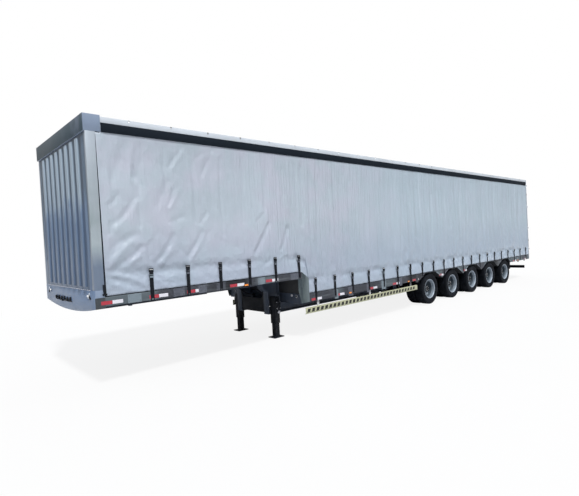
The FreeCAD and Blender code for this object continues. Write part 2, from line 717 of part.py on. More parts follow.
def bearers():
    """Cross bearers between the beams, and outriggers from the beams to the raves."""
    rows = []
    for deck, count, first, last in (
        ("upper", "upper_bearers", "wall_rear_x - bearer_inset", "step_x + 2 * bearer_inset"),
        ("lower", "lower_bearers", "step_x - 3 * bearer_inset", "frame_front_x + 2 * bearer_inset"),
    ):
        floor = deck + "_floor_z"
        outer_end = "guard_inner_y" if deck == "lower" else "rave_inner_y"
        middle = ("0 - beam_y + flange_half", "beam_y - flange_half")
        rows.append(bearer_row(deck + "_middle", count, first, last, floor, middle))
        outer = ("beam_y + flange_half", outer_end)
        left = bearer_row(deck + "_outrigger", count, first, last, floor, outer)
        rows += [left, mirrored(deck + "_outrigger_right", left)]
    sub_part(group("all_bearers", rows), "cross_bearers")


# ---------------------------------------------------------------- sides
def rave_section(name, low, high, rear, front):
    """A channel-section side rave, open to the inside."""
    return pad(
        name,
        "YZ",
        (
            ("rave_inner_y", low),
            ("side_y", low),
            ("side_y", high),
            ("rave_inner_y", high),
            ("rave_inner_y", "%s - rave_sheet" % high),
            ("side_y - rave_sheet", "%s - rave_sheet" % high),
            ("side_y - rave_sheet", "%s + rave_sheet" % low),
            ("rave_inner_y", "%s + rave_sheet" % low),
        ),
        rear,
        front,
    )


def raves():
    """Side raves of both decks; the lower ones are arched over the wheels."""
    upper = rave_section("upper_rave", "upper_rave_z", "upper_deck_height", "step_x", "post_rear_x")
    lower = rave_section("lower_rave", "lower_rave_z", "lower_deck_height", "frame_front_x", "slope_x")
    solids = [lower]
    for number in axles[:-1]:
        x = "(%s - axle_spacing / 2)" % wheel_x(number)
        tip = (
            ("%s - tip_half" % x, "lower_rave_z"),
            ("%s + tip_half" % x, "lower_rave_z"),
            ("%s + axle_spacing / 2 - guard_half" % x, "arch_top - guard_fall"),
            ("%s - axle_spacing / 2 + guard_half" % x, "arch_top - guard_fall"),
        )
        solids.append(pad("rave_tip_%d" % number, "XZ", tip, "side_y - rave_sheet", "side_y"))
    arches = []
    for number in axles:
        room = ("rave_inner_y - 1", "side_y + buckle_height")
        arches.append(pad("rave_arch_%d" % number, "XZ", arch(number), *room))
    lower = cut("lower_rave_cut", fuse("lower_rave_tips", solids), arches)
    sub_part(both_sides("raves", [upper, lower]), "side_raves")


def curtains():
    """Side curtains that follow the step, and the straps that hold them down."""
    outline = (
        ("post_rear_x", "upper_deck_height + curtain_lift"),
        ("step_x", "upper_deck_height + slope_front_rise"),
        ("slope_x", "upper_deck_height - slope_rear_drop + curtain_lift"),
        ("slope_x", "lower_deck_height + curtain_lift"),
        ("frame_front_x", "lower_deck_height + curtain_lift"),
        ("frame_front_x", "rail_bottom - curtain_lift"),
        ("header_rear_x", "rail_bottom - curtain_lift"),
        ("header_rear_x", "header_bottom - curtain_lift"),
        ("post_rear_x", "header_bottom - curtain_lift"),
    )
    for side in ("left", "right"):
        sheet = pad(side + "_sheet", "XZ", outline, "curtain_y", "curtain_y + curtain_sheet")
        if side == "right":
            sheet = mirrored("right_sheet_image", sheet)
        sub_part(sheet, "curtain_" + side)
    straps = []
    upper = int(value("strap_upper_count"))
    for number in range(int(value("strap_count"))):
        centre = "strap_front_x - %d * strap_upper_pitch" % number
        foot = "upper_rave_z"
        if number >= upper:
            centre = "strap_lower_x - %d * strap_pitch" % (number - upper)
            foot = "lower_rave_z"
        web = block(
            "web_%d" % number,
            ("%s - strap_width / 2" % centre, "%s + strap_width / 2" % centre),
            ("side_y", "side_y + strap_sheet"),
            (foot, "%s + strap_reach" % foot),
        )
        near = [axle for axle in axles if abs(value(centre) - value(wheel_x(axle))) < value("guard_half")]
        if near:
            web = cut("web_short_%d" % number, web, [doc.getObject("rave_arch_%d" % axle) for axle in near])
        buckle = block(
            "buckle_%d" % number,
            ("%s - buckle_width / 2" % centre, "%s + buckle_width / 2" % centre),
            ("side_y + strap_sheet", "side_y + strap_sheet + buckle_height"),
            ("%s + buckle_rise" % foot, "%s + buckle_rise + buckle_length" % foot),
        )
        straps += [fuse("strap_%d" % number, [web, buckle])]
    sub_part(both_sides("straps", straps), "curtain_straps")


def rails():
    """Cant rails, the pelmets below them, tension poles and the inner pillars."""
    rail = pad(
        "rail",
        "YZ",
        (
            ("side_y - rail_width", "rail_bottom"),
            ("side_y - rail_width", "rail_top"),
            ("side_y", "rail_top"),
            ("side_y", "rail_bottom"),
            ("side_y - rail_sheet", "rail_bottom"),
            ("side_y - rail_sheet", "rail_top - rail_sheet"),
            ("side_y - rail_width + rail_sheet", "rail_top - rail_sheet"),
            ("side_y - rail_width + rail_sheet", "rail_bottom"),
        ),
        "frame_front_x",
        "header_rear_x",
    )
    sub_part(both_sides("rails", [rail]), "cant_rails")
    pelmet = block(
        "pelmet",
        ("frame_front_x", "header_rear_x"),
        ("side_y", "side_y + pelmet_sheet"),
        ("pelmet_bottom", "rail_bottom + pelmet_overlap"),
    )
    sub_part(both_sides("pelmets", [pelmet]), "pelmets")
    poles = []
    for name, x, foot, head in (
        ("front_pole", "post_rear_x - pole_radius - pole_gap", "upper_deck_height", "header_bottom"),
        ("rear_pole", "frame_front_x + pole_radius + pole_gap", "lower_deck_height", "rail_bottom"),
    ):
        start = (x, "curtain_y - pole_radius - 1", foot)
        poles.append(rod(name, "z", start, "pole_radius", "%s - %s" % (head, foot)))
    posts = poles
    for number, (station, foot) in enumerate(
        (
            ("step_station - pillar_step_gap", "upper_deck_height"),
            ("step_station + pillar_pitch", "lower_deck_height"),
            ("step_station + 2 * pillar_pitch", "lower_deck_height"),
        )
    ):
        x = "front_x - (%s)" % station
        outside = block(
            "pillar_%d" % number,
            ("%s - pillar_length / 2" % x, "%s + pillar_length / 2" % x),
            ("curtain_y - pillar_gap - pillar_width", "curtain_y - pillar_gap"),
            (foot, "rail_top - rail_sheet"),
        )
        posts.append(outside)
    sub_part(both_sides("pillars", posts), "side_pillars")


def roof():
    """A thin cambered roof between the cant rails."""
    edge = "side_y - rail_width"
    radius = "((side_y - rail_width) ^ 2 / (2 * roof_camber) + roof_camber / 2)"
    skin = pad(
        "roof_skin",
        "YZ",
        (
            (edge, "rail_top", radius, -1),
            ("0 - (%s)" % edge, "rail_top"),
            ("0 - (%s)" % edge, "rail_top - roof_sheet", "%s - roof_sheet" % radius, 1),
            (edge, "rail_top - roof_sheet"),
        ),
        "frame_front_x",
        "header_rear_x",
    )
    sub_part(skin, "roof")


# ---------------------------------------------------------------- front end
def front_end():
    """Ribbed front wall, curved apron, corner posts and the header over them."""
    foot, top = "apron_top + rib_end_gap", "header_bottom - rib_end_gap"
    panel = block(
        "wall_panel",
        ("wall_rear_x", "wall_face_x"),
        ("0 - side_y + post_width", "side_y - post_width"),
        ("upper_deck_height", "header_bottom"),
    )
    panel_cut = cut(
        "wall_panel_cut",
        panel,
        [
            block(
                "apron_seat",
                ("wall_face_x - apron_thickness", "wall_face_x + 1"),
                ("0 - side_y", "side_y"),
                ("upper_deck_height - 1", "apron_top"),
            )
        ],
    )
    ribs = [panel_cut]
    for number in range(int(value("rib_count"))):
        y = "(%d - (rib_count - 1) / 2) * rib_pitch" % number
        rib = pad(
            "rib_%d" % number,
            "XY",
            (
                ("wall_face_x - 1", "%s - rib_foot_width / 2" % y),
                ("wall_face_x + rib_rise", "%s - rib_crest_width / 2" % y),
                ("wall_face_x + rib_rise", "%s + rib_crest_width / 2" % y),
                ("wall_face_x - 1", "%s + rib_foot_width / 2" % y),
            ),
            foot,
            top,
        )
        ribs.append(rib)
    sub_part(fuse("ribbed_wall", ribs), "front_wall")
    rise = "apron_edge_height"
    apron = pad(
        "apron_face",
        "YZ",
        (
            ("0 - side_y", rise, "apron_radius", -1),
            ("side_y", rise),
            ("side_y", "apron_top"),
            ("0 - side_y", "apron_top"),
        ),
        "wall_face_x - apron_thickness",
        "wall_face_x",
    )
    cheeks = []
    for side, low, high in (
        ("left", "side_y - apron_thickness", "side_y"),
        ("right", "0 - side_y", "apron_thickness - side_y"),
    ):
        length = ("post_rear_x", "wall_face_x")
        cheeks.append(block("apron_cheek_" + side, length, (low, high), (rise, "apron_top")))
    sub_part(fuse("apron", [apron] + cheeks), "front_apron")
    post = pad(
        "corner_post",
        "XY",
        (
            ("wall_face_x", "side_y - post_width"),
            ("wall_face_x", "side_y"),
            ("post_rear_x", "side_y"),
            ("post_rear_x", "side_y - post_return"),
            ("post_rear_x + post_sheet", "side_y - post_return"),
            ("post_rear_x + post_sheet", "side_y - post_sheet"),
            ("wall_face_x - post_sheet", "side_y - post_sheet"),
            ("wall_face_x - post_sheet", "side_y - post_width"),
        ),
        "apron_top",
        "header_bottom",
    )
    sub_part(both_sides("corner_posts", [post]), "corner_posts")
    shell = block(
        "header_shell",
        ("header_rear_x", "front_x"),
        ("0 - side_y", "side_y"),
        ("header_bottom", "body_height"),
    )
    hollow = block(
        "header_hollow",
        ("header_rear_x - 1", "front_x - header_sheet"),
        ("header_sheet - side_y", "side_y - header_sheet"),
        ("header_bottom + header_sheet", "body_height - header_sheet"),
    )
    sub_part(cut("header", shell, [hollow]), "front_header")


# ---------------------------------------------------------------- rear end
def rear_frame():
    """Portal round the doors: two posts, a head and a sill."""
    outside = block(
        "portal_blank",
        ("frame_rear_x", "frame_front_x"),
        ("0 - frame_side_y", "frame_side_y"),
        ("lower_rave_z", "rail_top"),
    )
    doorway = block(
        "doorway",
        ("frame_rear_x - 1", "frame_front_x + 1"),
        ("frame_post_width - frame_side_y", "frame_side_y - frame_post_width"),
        ("lower_deck_height", "frame_head_z"),
    )
    sub_part(cut("portal", outside, [doorway]), "rear_frame")


def hinge_heights():
    """Formulas for the middle of each hinge of a door."""
    last = int(value("hinge_count")) - 1
    span = "(door_top - door_bottom - 2 * hinge_end)"
    return ["door_bottom + hinge_end + %s * %d / %d" % (span, number, last) for number in range(last + 1)]


def door_hinges():
    """Fixed halves of the hinges: a plate on the post, two knuckles and the pin."""
    halves = []
    for number, z in enumerate(hinge_heights()):
        low = "(%s) - hinge_length / 2" % z
        reach = "(hinge_length - knuckle_length) / 2 - knuckle_space"
        plate = block(
            "hinge_plate_%d" % number,
            ("hinge_x", "frame_front_x - hinge_plate_end"),
            ("frame_side_y", "frame_side_y + hinge_plate"),
            (low, "%s + hinge_length" % low),
        )
        start = ("hinge_x", "hinge_y", low)
        lower = rod("hinge_lower_%d" % number, "z", start, "hinge_radius", reach)
        half = "knuckle_length / 2 + knuckle_space"
        upper_low = "(%s) + %s" % (z, half)
        upper = rod("hinge_upper_%d" % number, "z", ("hinge_x", "hinge_y", upper_low), "hinge_radius", reach)
        pin = rod("hinge_pin_%d" % number, "z", start, "hinge_pin_radius", "hinge_length")
        relief = block(
            "hinge_relief_%d" % number,
            ("hinge_x - 1", "frame_rear_x + hinge_plate_gap"),
            ("frame_side_y - 1", "frame_side_y + hinge_plate + 1"),
            ("(%s) - (%s)" % (z, half), "(%s) + %s" % (z, half)),
        )
        plate_cut = cut("hinge_plate_cut_%d" % number, plate, [relief])
        halves.append(fuse("hinge_%d" % number, [plate_cut, lower, upper, pin]))
    sub_part(both_sides("hinges", halves), "door_hinges")


def doors():
    """Two rear doors with their hinge blades, and the lock rods on them."""
    edge = "hinge_y - door_edge"
    panel = block(
        "door_panel",
        ("hinge_x", "hinge_x + door_thickness"),
        ("door_meeting_gap / 2", edge),
        ("door_bottom", "door_top"),
    )
    parts = [panel]
    for number, z in enumerate(hinge_heights()):
        low = "(%s) - knuckle_length / 2" % z
        blade = block(
            "blade_%d" % number,
            ("hinge_x", "hinge_x + hinge_pin_radius + 2"),
            (edge, "hinge_y"),
            (low, "%s + knuckle_length" % low),
        )
        start = ("hinge_x", "hinge_y", low)
        knuckle = rod("knuckle_%d" % number, "z", start, "hinge_radius", "knuckle_length")
        bore = rod(
            "knuckle_bore_%d" % number,
            "z",
            ("hinge_x", "hinge_y", "%s - 1" % low),
            "hinge_pin_radius + hinge_pin_gap",
            "knuckle_length + 2",
        )
        blank = fuse("knuckle_blank_%d" % number, [blade, knuckle])
        parts.append(cut("knuckle_cut_%d" % number, blank, [bore]))
    rods = []
    for number in range(2):
        y = "%s - rod_inset - %d * rod_pitch" % (edge, number)
        bar = rod(
            "lock_bar_%d" % number,
            "z",
            ("hinge_x - rod_radius", y, "door_bottom + rod_end_gap"),
            "rod_radius",
            "door_top - door_bottom - 2 * rod_end_gap",
        )
        guides = []
        for place_number, share in enumerate(("0.03", "0.34", "0.66", "0.97")):
            middle = "door_bottom + (door_top - door_bottom) * %s" % share
            guides.append(
                block(
                    "rod_guide_%d_%d" % (number, place_number),
                    ("hinge_x - gear_depth", "hinge_x"),
                    ("%s - rod_guide_width / 2" % y, "%s + rod_guide_width / 2" % y),
                    ("%s - rod_guide_height / 2" % middle, "%s + rod_guide_height / 2" % middle),
                )
            )
        rods.append(fuse("lock_rod_%d" % number, [bar] + guides))
    for side in ("left", "right"):
        if side == "left":
            sub_part(fuse("door_body_left", parts), "door_left")
            sub_part(group("door_rods_left", rods), "door_left_rods")
            continue
        sub_part(mirrored("door_body_right", doc.getObject("door_body_left")), "door_right")
        sub_part(mirrored("door_rods_right", doc.getObject("door_rods_left")), "door_right_rods")


def bumper():
    """Rear bumper on two stays below the beams' ends."""
    x = "(frame_rear_x + bumper_overlap)"
    outside = block(
        "bumper_blank",
        ("%s - bumper_thick" % x, x),
        ("0 - bumper_width / 2", "bumper_width / 2"),
        ("bumper_bottom", "bumper_bottom + bumper_depth"),
    )
    hollow = block(
        "bumper_hollow",
        ("%s - bumper_thick + bumper_sheet" % x, "%s + 1" % x),
        ("0 - bumper_width / 2 - 1", "bumper_width / 2 + 1"),
        ("bumper_bottom + bumper_sheet", "bumper_bottom + bumper_depth - bumper_sheet"),
    )
    stays = []
    for side, middle in (("left", "beam_y"), ("right", "0 - beam_y")):
        stays.append(
            block(
                "bumper_stay_" + side,
                ("%s - bumper_thick + bumper_stay_lap" % x, "%s + bumper_stay_reach" % x),
                ("%s - bumper_stay_width / 2" % middle, "%s + bumper_stay_width / 2" % middle),
                ("bumper_bottom + bumper_depth", "beam_high"),
            )
        )
    sub_part(fuse("bumper", [cut("bumper_bar", outside, [hollow])] + stays), "rear_bumper")


# ---------------------------------------------------------------- running gear
def wheels():
    """Twin tyres on back-to-back dished rims, with the hub and the brake drum."""
    tyre = []
    for name, middle in (("outer", "outer_tyre_y"), ("inner", "inner_tyre_y")):
        bore = "seat_radius + soft_gap"
        tyre.append(
            (
                ("%s - tyre_bead_width / 2" % middle, bore),
                ("%s + tyre_bead_width / 2" % middle, bore),
                ("%s + tyre_bead_width / 2" % middle, "rim_flange_radius + rim_lip"),
                ("%s + tyre_width / 2" % middle, "tyre_radius * 0.8"),
                ("%s + tread_width / 2" % middle, "tyre_radius"),
                ("%s - tread_width / 2" % middle, "tyre_radius"),
                ("%s - tyre_width / 2" % middle, "tyre_radius * 0.8"),
                ("%s - tyre_bead_width / 2" % middle, "rim_flange_radius + rim_lip"),
            )
        )
    half = "twin_spacing / 2"
    rim = (
        ("0", "hub_radius - hub_overlap"),
        ("0", "disc_flat_radius + disc_bend"),
        ("%s - rim_width / 2 + disc_edge" % half, "seat_radius - rim_sheet"),
        ("%s - rim_width / 2" % half, "seat_radius - rim_sheet"),
        ("%s - rim_width / 2" % half, "rim_flange_radius"),
        ("%s - rim_width / 2 + rim_sheet" % half, "rim_flange_radius"),
        ("%s - rim_width / 2 + rim_sheet" % half, "seat_radius"),
        ("%s + rim_width / 2 - rim_sheet" % half, "seat_radius"),
        ("%s + rim_width / 2 - rim_sheet" % half, "rim_flange_radius"),
        ("%s + rim_width / 2" % half, "rim_flange_radius"),
        ("%s + rim_width / 2" % half, "seat_radius - rim_sheet"),
        ("%s - rim_width / 2 + disc_foot" % half, "seat_radius - rim_sheet"),
        ("disc_thickness", "disc_flat_radius"),
        ("disc_thickness", "hub_radius - hub_overlap"),
    )
    hub = (
        ("disc_y + hub_reach", "spindle_radius + bore_gap"),
        ("disc_y + hub_reach", "0"),
        ("disc_y + hub_reach + hub_cap_length", "0"),
        ("disc_y + hub_reach + hub_cap_length", "hub_cap_radius"),
        ("disc_y + hub_reach", "hub_radius"),
        ("disc_y - disc_thickness", "hub_radius"),
        ("disc_y - disc_thickness", "drum_radius"),
        ("disc_y - disc_thickness - drum_length", "drum_radius"),
        ("disc_y - disc_thickness - drum_length", "drum_radius - drum_wall"),
        ("disc_y - disc_thickness - drum_wall", "drum_radius - drum_wall"),
        ("disc_y - disc_thickness - drum_wall", "hub_radius"),
        ("disc_y - drum_length", "spindle_radius + hub_wall"),
        ("disc_y - drum_length", "spindle_radius + bore_gap"),
    )
    for number in axles:
        for side in ("left", "right"):
            name = "wheel_%d_%s" % (number + 1, side)
            right = side == "right"
            twins = [turned("%s_tyre_%d" % (name, index), outline) for index, outline in enumerate(tyre)]
            for body in twins:
                place(body, wheel_x(number), "0", "wheel_z", right)
            sub_part(group(name + "_pair", twins), name + "_tyres")
            middle = "0 - disc_y" if right else "disc_y"
            rims = [
                place(turned(name + "_rim_outer", rim), wheel_x(number), middle, "wheel_z", right),
                place(turned(name + "_rim_inner", rim), wheel_x(number), middle, "wheel_z", not right),
                place(turned(name + "_hub", hub), wheel_x(number), "0", "wheel_z", right),
            ]
            sub_part(fuse(name + "_centre", rims), name + "_rims")


def axle_set():
    """Axle tubes with their spindles and spring saddles."""
    items = []
    end = "disc_y + hub_reach - spindle_inset"
    shoulder = "disc_y - drum_length - drum_gap"
    for number in axles:
        x = wheel_x(number)
        pieces = []
        for name, reach, radius in (("tube", shoulder, "axle_radius"), ("spindle", end, "spindle_radius")):
            start = (x, "0 - (%s)" % reach, "wheel_z")
            pieces.append(rod("%s_%d" % (name, number), "y", start, radius, "2 * (%s)" % reach))
        for side, middle in (("left", "beam_y"), ("right", "0 - beam_y")):
            pieces.append(
                block(
                    "saddle_%d_%s" % (number, side),
                    ("%s - saddle_half" % x, "%s + saddle_half" % x),
                    ("%s - spring_width / 2" % middle, "%s + spring_width / 2" % middle),
                    ("wheel_z", "wheel_z + axle_radius + spring_seat"),
                )
            )
        items.append(fuse("axle_%d" % number, pieces))
    sub_part(group("axle_group", items), "axles")


def springs():
    """Leaf springs over the axles, between hangers below the beams."""
    low = "wheel_z + axle_radius + spring_seat"
    reach = "(axle_spacing / 2 - spring_end_gap)"
    leaves = []
    for number in axles:
        x = wheel_x(number)
        pack = pad(
            "spring_%d" % number,
            "XZ",
            (
                ("%s - spring_flat" % x, low),
                ("%s + spring_flat" % x, low),
                ("%s + %s" % (x, reach), "%s + spring_rise" % low),
                ("%s + %s" % (x, reach), "%s + spring_rise + spring_leaf" % low),
                ("%s + %s - spring_pad" % (x, reach), "%s + spring_rise + spring_leaf" % low),
                ("%s + spring_flat" % x, "%s + spring_height" % low),
                ("%s - spring_flat" % x, "%s + spring_height" % low),
                ("%s - %s + spring_pad" % (x, reach), "%s + spring_rise + spring_leaf" % low),
                ("%s - %s" % (x, reach), "%s + spring_rise + spring_leaf" % low),
                ("%s - %s" % (x, reach), "%s + spring_rise" % low),
            ),
            "beam_y - spring_width / 2",
            "beam_y + spring_width / 2",
        )
        leaves.append(pack)
    sub_part(both_sides("springs", leaves), "leaf_springs")
    hangers = []
    seat = "%s + spring_rise + spring_leaf" % low
    for number in range(len(axles) + 1):
        x = "first_axle_x + axle_spacing / 2 - %d * axle_spacing" % number
        spread = "spring_width / 2 + hanger_space"
        outside = block(
            "hanger_blank_%d" % number,
            ("%s - hanger_length / 2" % x, "%s + hanger_length / 2" % x),
            ("beam_y - %s - hanger_sheet" % spread, "beam_y + %s + hanger_sheet" % spread),
            ("beam_high - hanger_drop", "beam_high"),
        )
        slot = block(
            "hanger_slot_%d" % number,
            ("%s - hanger_length / 2 - 1" % x, "%s + hanger_length / 2 + 1" % x),
            ("beam_y - (%s)" % spread, "beam_y + %s" % spread),
            ("beam_high - hanger_drop - 1", "%s + soft_gap" % seat),
        )
        hangers.append(cut("hanger_%d" % number, outside, [slot]))
    sub_part(both_sides("hangers", hangers), "spring_hangers")


def mudguards():
    """A folded guard over each pair of twins, and a flap behind the last."""
    guards = []
    high = "guard_inner_y + guard_width"
    for number in axles:
        outline = guard_line(number, "guard_sheet") + guard_line(number, "0")[::-1]
        guards.append(pad("guard_%d" % number, "XZ", outline, "guard_inner_y", high))
    x = "%s - flap_station" % wheel_x(axles[-1])
    flap = block(
        "flap",
        (x, "%s + guard_sheet" % x),
        ("guard_inner_y", high),
        ("flap_bottom", "guard_top - flap_fall + guard_sheet"),
    )
    guards[-1] = fuse("guard_with_flap", [guards[-1], flap])
    sub_part(both_sides("guards", guards), "mudguards")


# ---------------------------------------------------------------- landing gear and guards
def landing_gear():
    """Two landing legs on their feet, with the cross shaft and the crank."""
    middle = "(leg_inner_y + leg_width / 2)"
    housing = block(
        "leg_housing",
        ("leg_x - leg_length / 2", "leg_x + leg_length / 2"),
        ("leg_inner_y", "leg_inner_y + leg_width"),
        ("leg_foot_of_housing", "leg_top"),
    )
    tube = block(
        "leg_tube",
        ("leg_x - leg_tube_width / 2", "leg_x + leg_tube_width / 2"),
        ("%s - leg_tube_width / 2" % middle, "%s + leg_tube_width / 2" % middle),
        ("foot_thickness", "leg_foot_of_housing"),
    )
    foot = block(
        "leg_foot",
        ("leg_x - foot_length / 2", "leg_x + foot_length / 2"),
        ("%s - foot_width / 2" % middle, "%s + foot_width / 2" % middle),
        ("0", "foot_thickness"),
    )
    sub_part(both_sides("legs", [fuse("leg", [housing, tube, foot])]), "landing_legs")
    start = ("leg_x", "0 - leg_inner_y", "shaft_height")
    cross = rod("cross_shaft", "y", start, "shaft_radius", "2 * leg_inner_y")
    stub = rod(
        "crank_stub",
        "y",
        ("leg_x", "0 - crank_reach", "shaft_height"),
        "crank_radius",
        "crank_reach - leg_inner_y - leg_width",
    )
    end = ("leg_x - crank_length", "0 - crank_reach", "shaft_height")
    arm = rod("crank_arm", "x", end, "crank_radius", "crank_length")
    grip = rod("crank_grip", "y", end, "crank_radius", "crank_grip")
    sub_part(group("drive", [cross, fuse("crank", [stub, arm, grip])]), "landing_drive")


def side_guards():
    """Perforated guard rails along both sides, on brackets below the lower raves."""
    rail = pad(
        "guard_rail",
        "YZ",
        (
            ("side_y - guard_rail_width", "guard_rail_bottom"),
            ("side_y", "guard_rail_bottom"),
            ("side_y", "guard_rail_bottom + guard_rail_depth"),
            ("side_y - guard_rail_width", "guard_rail_bottom + guard_rail_depth"),
            ("side_y - guard_rail_width", "guard_rail_bottom + guard_rail_depth - guard_rail_sheet"),
            ("side_y - guard_rail_sheet", "guard_rail_bottom + guard_rail_depth - guard_rail_sheet"),
            ("side_y - guard_rail_sheet", "guard_rail_bottom + guard_rail_sheet"),
            ("side_y - guard_rail_width", "guard_rail_bottom + guard_rail_sheet"),
        ),
        "guard_rail_rear_x",
        "guard_rail_front_x",
    )
    brackets = []
    for number in range(int(value("bracket_count"))):
        x = "bracket_front_x - %d * bracket_pitch" % number
        brackets.append(
            block(
                "bracket_%d" % number,
                ("%s - bracket_width / 2" % x, "%s + bracket_width / 2" % x),
                ("side_y - guard_rail_width - bracket_sheet", "side_y - guard_rail_width"),
                ("guard_rail_bottom", "lower_rave_z"),
            )
        )
    guard = fuse("guard_with_brackets", [rail] + brackets)
    sub_part(both_sides("guards_and_brackets", [guard]), "side_guards")


def air_tanks():
    """Air tanks slung crosswise between the main beams."""
    tanks = []
    for number in range(2):
        x = "first_axle_x + tank_lead - %d * tank_spacing" % number
        z = "lower_floor_z - bearer_depth - tank_radius"
        start = (x, "0 - tank_length / 2", z)
        shell = rod("tank_shell_%d" % number, "y", start, "tank_radius", "tank_length")
        slings = []
        for side, middle in (("left", "tank_length / 4"), ("right", "0 - tank_length / 4")):
            slings.append(
                block(
                    "tank_sling_%d_%s" % (number, side),
                    ("%s - sling_length / 2" % x, "%s + sling_length / 2" % x),
                    ("%s - sling_width / 2" % middle, "%s + sling_width / 2" % middle),
                    (z, "lower_floor_z"),
                )
            )
        tanks.append(fuse("tank_%d" % number, [shell] + slings))
    sub_part(group("tanks", tanks), "air_tanks")


def lamps():
    """Side markers on the raves, front markers on the wall and tail lamps."""
    items = []
    for number, (x, z) in enumerate(
        (
            ("front_x - marker_station", "upper_rave_z"),
            ("front_x - marker_station - marker_pitch", "lower_rave_z"),
            ("first_axle_x + marker_lead", "lower_rave_z"),
            ("frame_front_x + marker_end", "lower_rave_z"),
        )
    ):
        items.append(
            block(
                "marker_%d" % number,
                ("%s - lamp_length / 2" % x, "%s + lamp_length / 2" % x),
                ("side_y", "side_y + lamp_depth"),
                ("%s + marker_lift" % z, "%s + marker_lift + lamp_height" % z),
            )
        )
    items.append(
        block(
            "front_marker",
            ("wall_face_x", "wall_face_x + lamp_depth"),
            ("side_y - front_marker_inset", "side_y - front_marker_inset + lamp_length"),
            ("apron_top - front_marker_drop", "apron_top - front_marker_drop + lamp_height"),
        )
    )
    items.append(
        block(
            "tail_lamp",
            ("frame_rear_x - tail_lamp_depth", "frame_rear_x"),
            ("side_y - tail_lamp_inset - tail_lamp_width", "side_y - tail_lamp_inset"),
            ("lower_rave_z + tail_lamp_lift", "lower_rave_z + tail_lamp_lift + tail_lamp_height"),
        )
    )
    sub_part(both_sides("lamp_group", items), "lamps")


def couplings():
    """Air and electric couplings in turn along the apron."""
    sockets = []
    kinds = (("air_socket_radius", "air_socket_reach"), ("wire_socket_radius", "wire_socket_reach"))
    for number in range(6):
        radius, reach = kinds[number % 2]
        start = ("wall_face_x", "%d * socket_pitch - socket_first" % number, "socket_height")
        sockets.append(rod("socket_%d" % number, "x", start, radius, reach))
    sub_part(group("sockets", sockets), "front_couplings")


for build in (
    main_beams,
    bulkhead,
    coupling,
    decks,
    bearers,
    raves,
    curtains,
    rails,
    roof,
    front_end,
    rear_frame,
    door_hinges,
    doors,
    bumper,
    wheels,
    axle_set,
    springs,
    mudguards,
    landing_gear,
    side_guards,
    air_tanks,
    lamps,
    couplings,
):
    build()
doc.recompute()

# ---------------------------------------------------------------- checks and files
for item in doc.Objects:
    faults = [state for state in item.State if state in ("Invalid", "Error")]
    if faults:
        raise RuntimeError("%s is %s" % (item.Name, ", ".join(faults)))
for item in finished:
    if item.Shape.isNull() or not item.Shape.isValid():
        raise RuntimeError("%s has no valid shape" % item.Label)

os.makedirs("parts", exist_ok=True)
for item in finished:
    item.Shape.exportStep("parts/%s.step" % item.Label)
    print("%-24s %3d solids %8.4f m3" % (item.Label, len(item.Shape.Solids), item.Shape.Volume / 1e9))
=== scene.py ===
import json
import math
from contextlib import contextmanager

import bmesh
import bpy
from bpy.props import FloatProperty, FloatVectorProperty, IntProperty, PointerProperty
from mathutils import Matrix, Vector, noise

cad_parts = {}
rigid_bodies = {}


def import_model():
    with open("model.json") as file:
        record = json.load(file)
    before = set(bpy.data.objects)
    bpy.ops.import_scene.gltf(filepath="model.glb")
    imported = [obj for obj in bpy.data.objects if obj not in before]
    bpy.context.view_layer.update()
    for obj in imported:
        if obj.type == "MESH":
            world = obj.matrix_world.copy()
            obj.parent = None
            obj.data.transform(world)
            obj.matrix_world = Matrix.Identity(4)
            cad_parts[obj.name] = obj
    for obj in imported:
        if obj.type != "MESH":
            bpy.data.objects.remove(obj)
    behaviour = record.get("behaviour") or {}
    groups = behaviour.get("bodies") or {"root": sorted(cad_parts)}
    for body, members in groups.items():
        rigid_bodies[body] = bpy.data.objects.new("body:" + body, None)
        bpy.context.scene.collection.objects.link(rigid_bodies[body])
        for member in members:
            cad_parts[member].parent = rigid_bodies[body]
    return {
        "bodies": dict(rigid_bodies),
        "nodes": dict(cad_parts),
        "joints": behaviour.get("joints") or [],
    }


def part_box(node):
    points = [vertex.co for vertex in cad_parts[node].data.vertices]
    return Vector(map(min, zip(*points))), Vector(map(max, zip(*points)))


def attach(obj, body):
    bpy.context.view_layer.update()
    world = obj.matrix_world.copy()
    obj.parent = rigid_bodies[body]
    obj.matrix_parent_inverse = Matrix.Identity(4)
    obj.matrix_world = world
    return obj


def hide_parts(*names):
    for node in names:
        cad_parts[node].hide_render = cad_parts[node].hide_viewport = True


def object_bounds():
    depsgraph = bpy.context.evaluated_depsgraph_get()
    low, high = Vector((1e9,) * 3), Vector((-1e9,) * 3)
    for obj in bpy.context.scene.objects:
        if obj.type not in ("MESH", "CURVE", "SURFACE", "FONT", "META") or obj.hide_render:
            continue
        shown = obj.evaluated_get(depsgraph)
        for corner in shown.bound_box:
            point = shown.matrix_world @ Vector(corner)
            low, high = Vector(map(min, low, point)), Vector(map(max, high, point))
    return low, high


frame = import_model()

bl_info = {
    "name": "Step-deck curtain-side trailer",
    "version": (1, 0, 0),
    "blender": (4, 5, 0),
    "location": "3D View > Sidebar > Trailer",
    "description": "Dresses the packed trailer with its curtains, tyres, fittings and finishes",
    "category": "Add Mesh",
}

CAD_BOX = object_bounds()
TAU = 2 * math.pi
WHEELS = sorted(name for name in frame["bodies"] if name.startswith("wheel_"))
JOINTS = {joint["child"]: joint for joint in frame["joints"]}

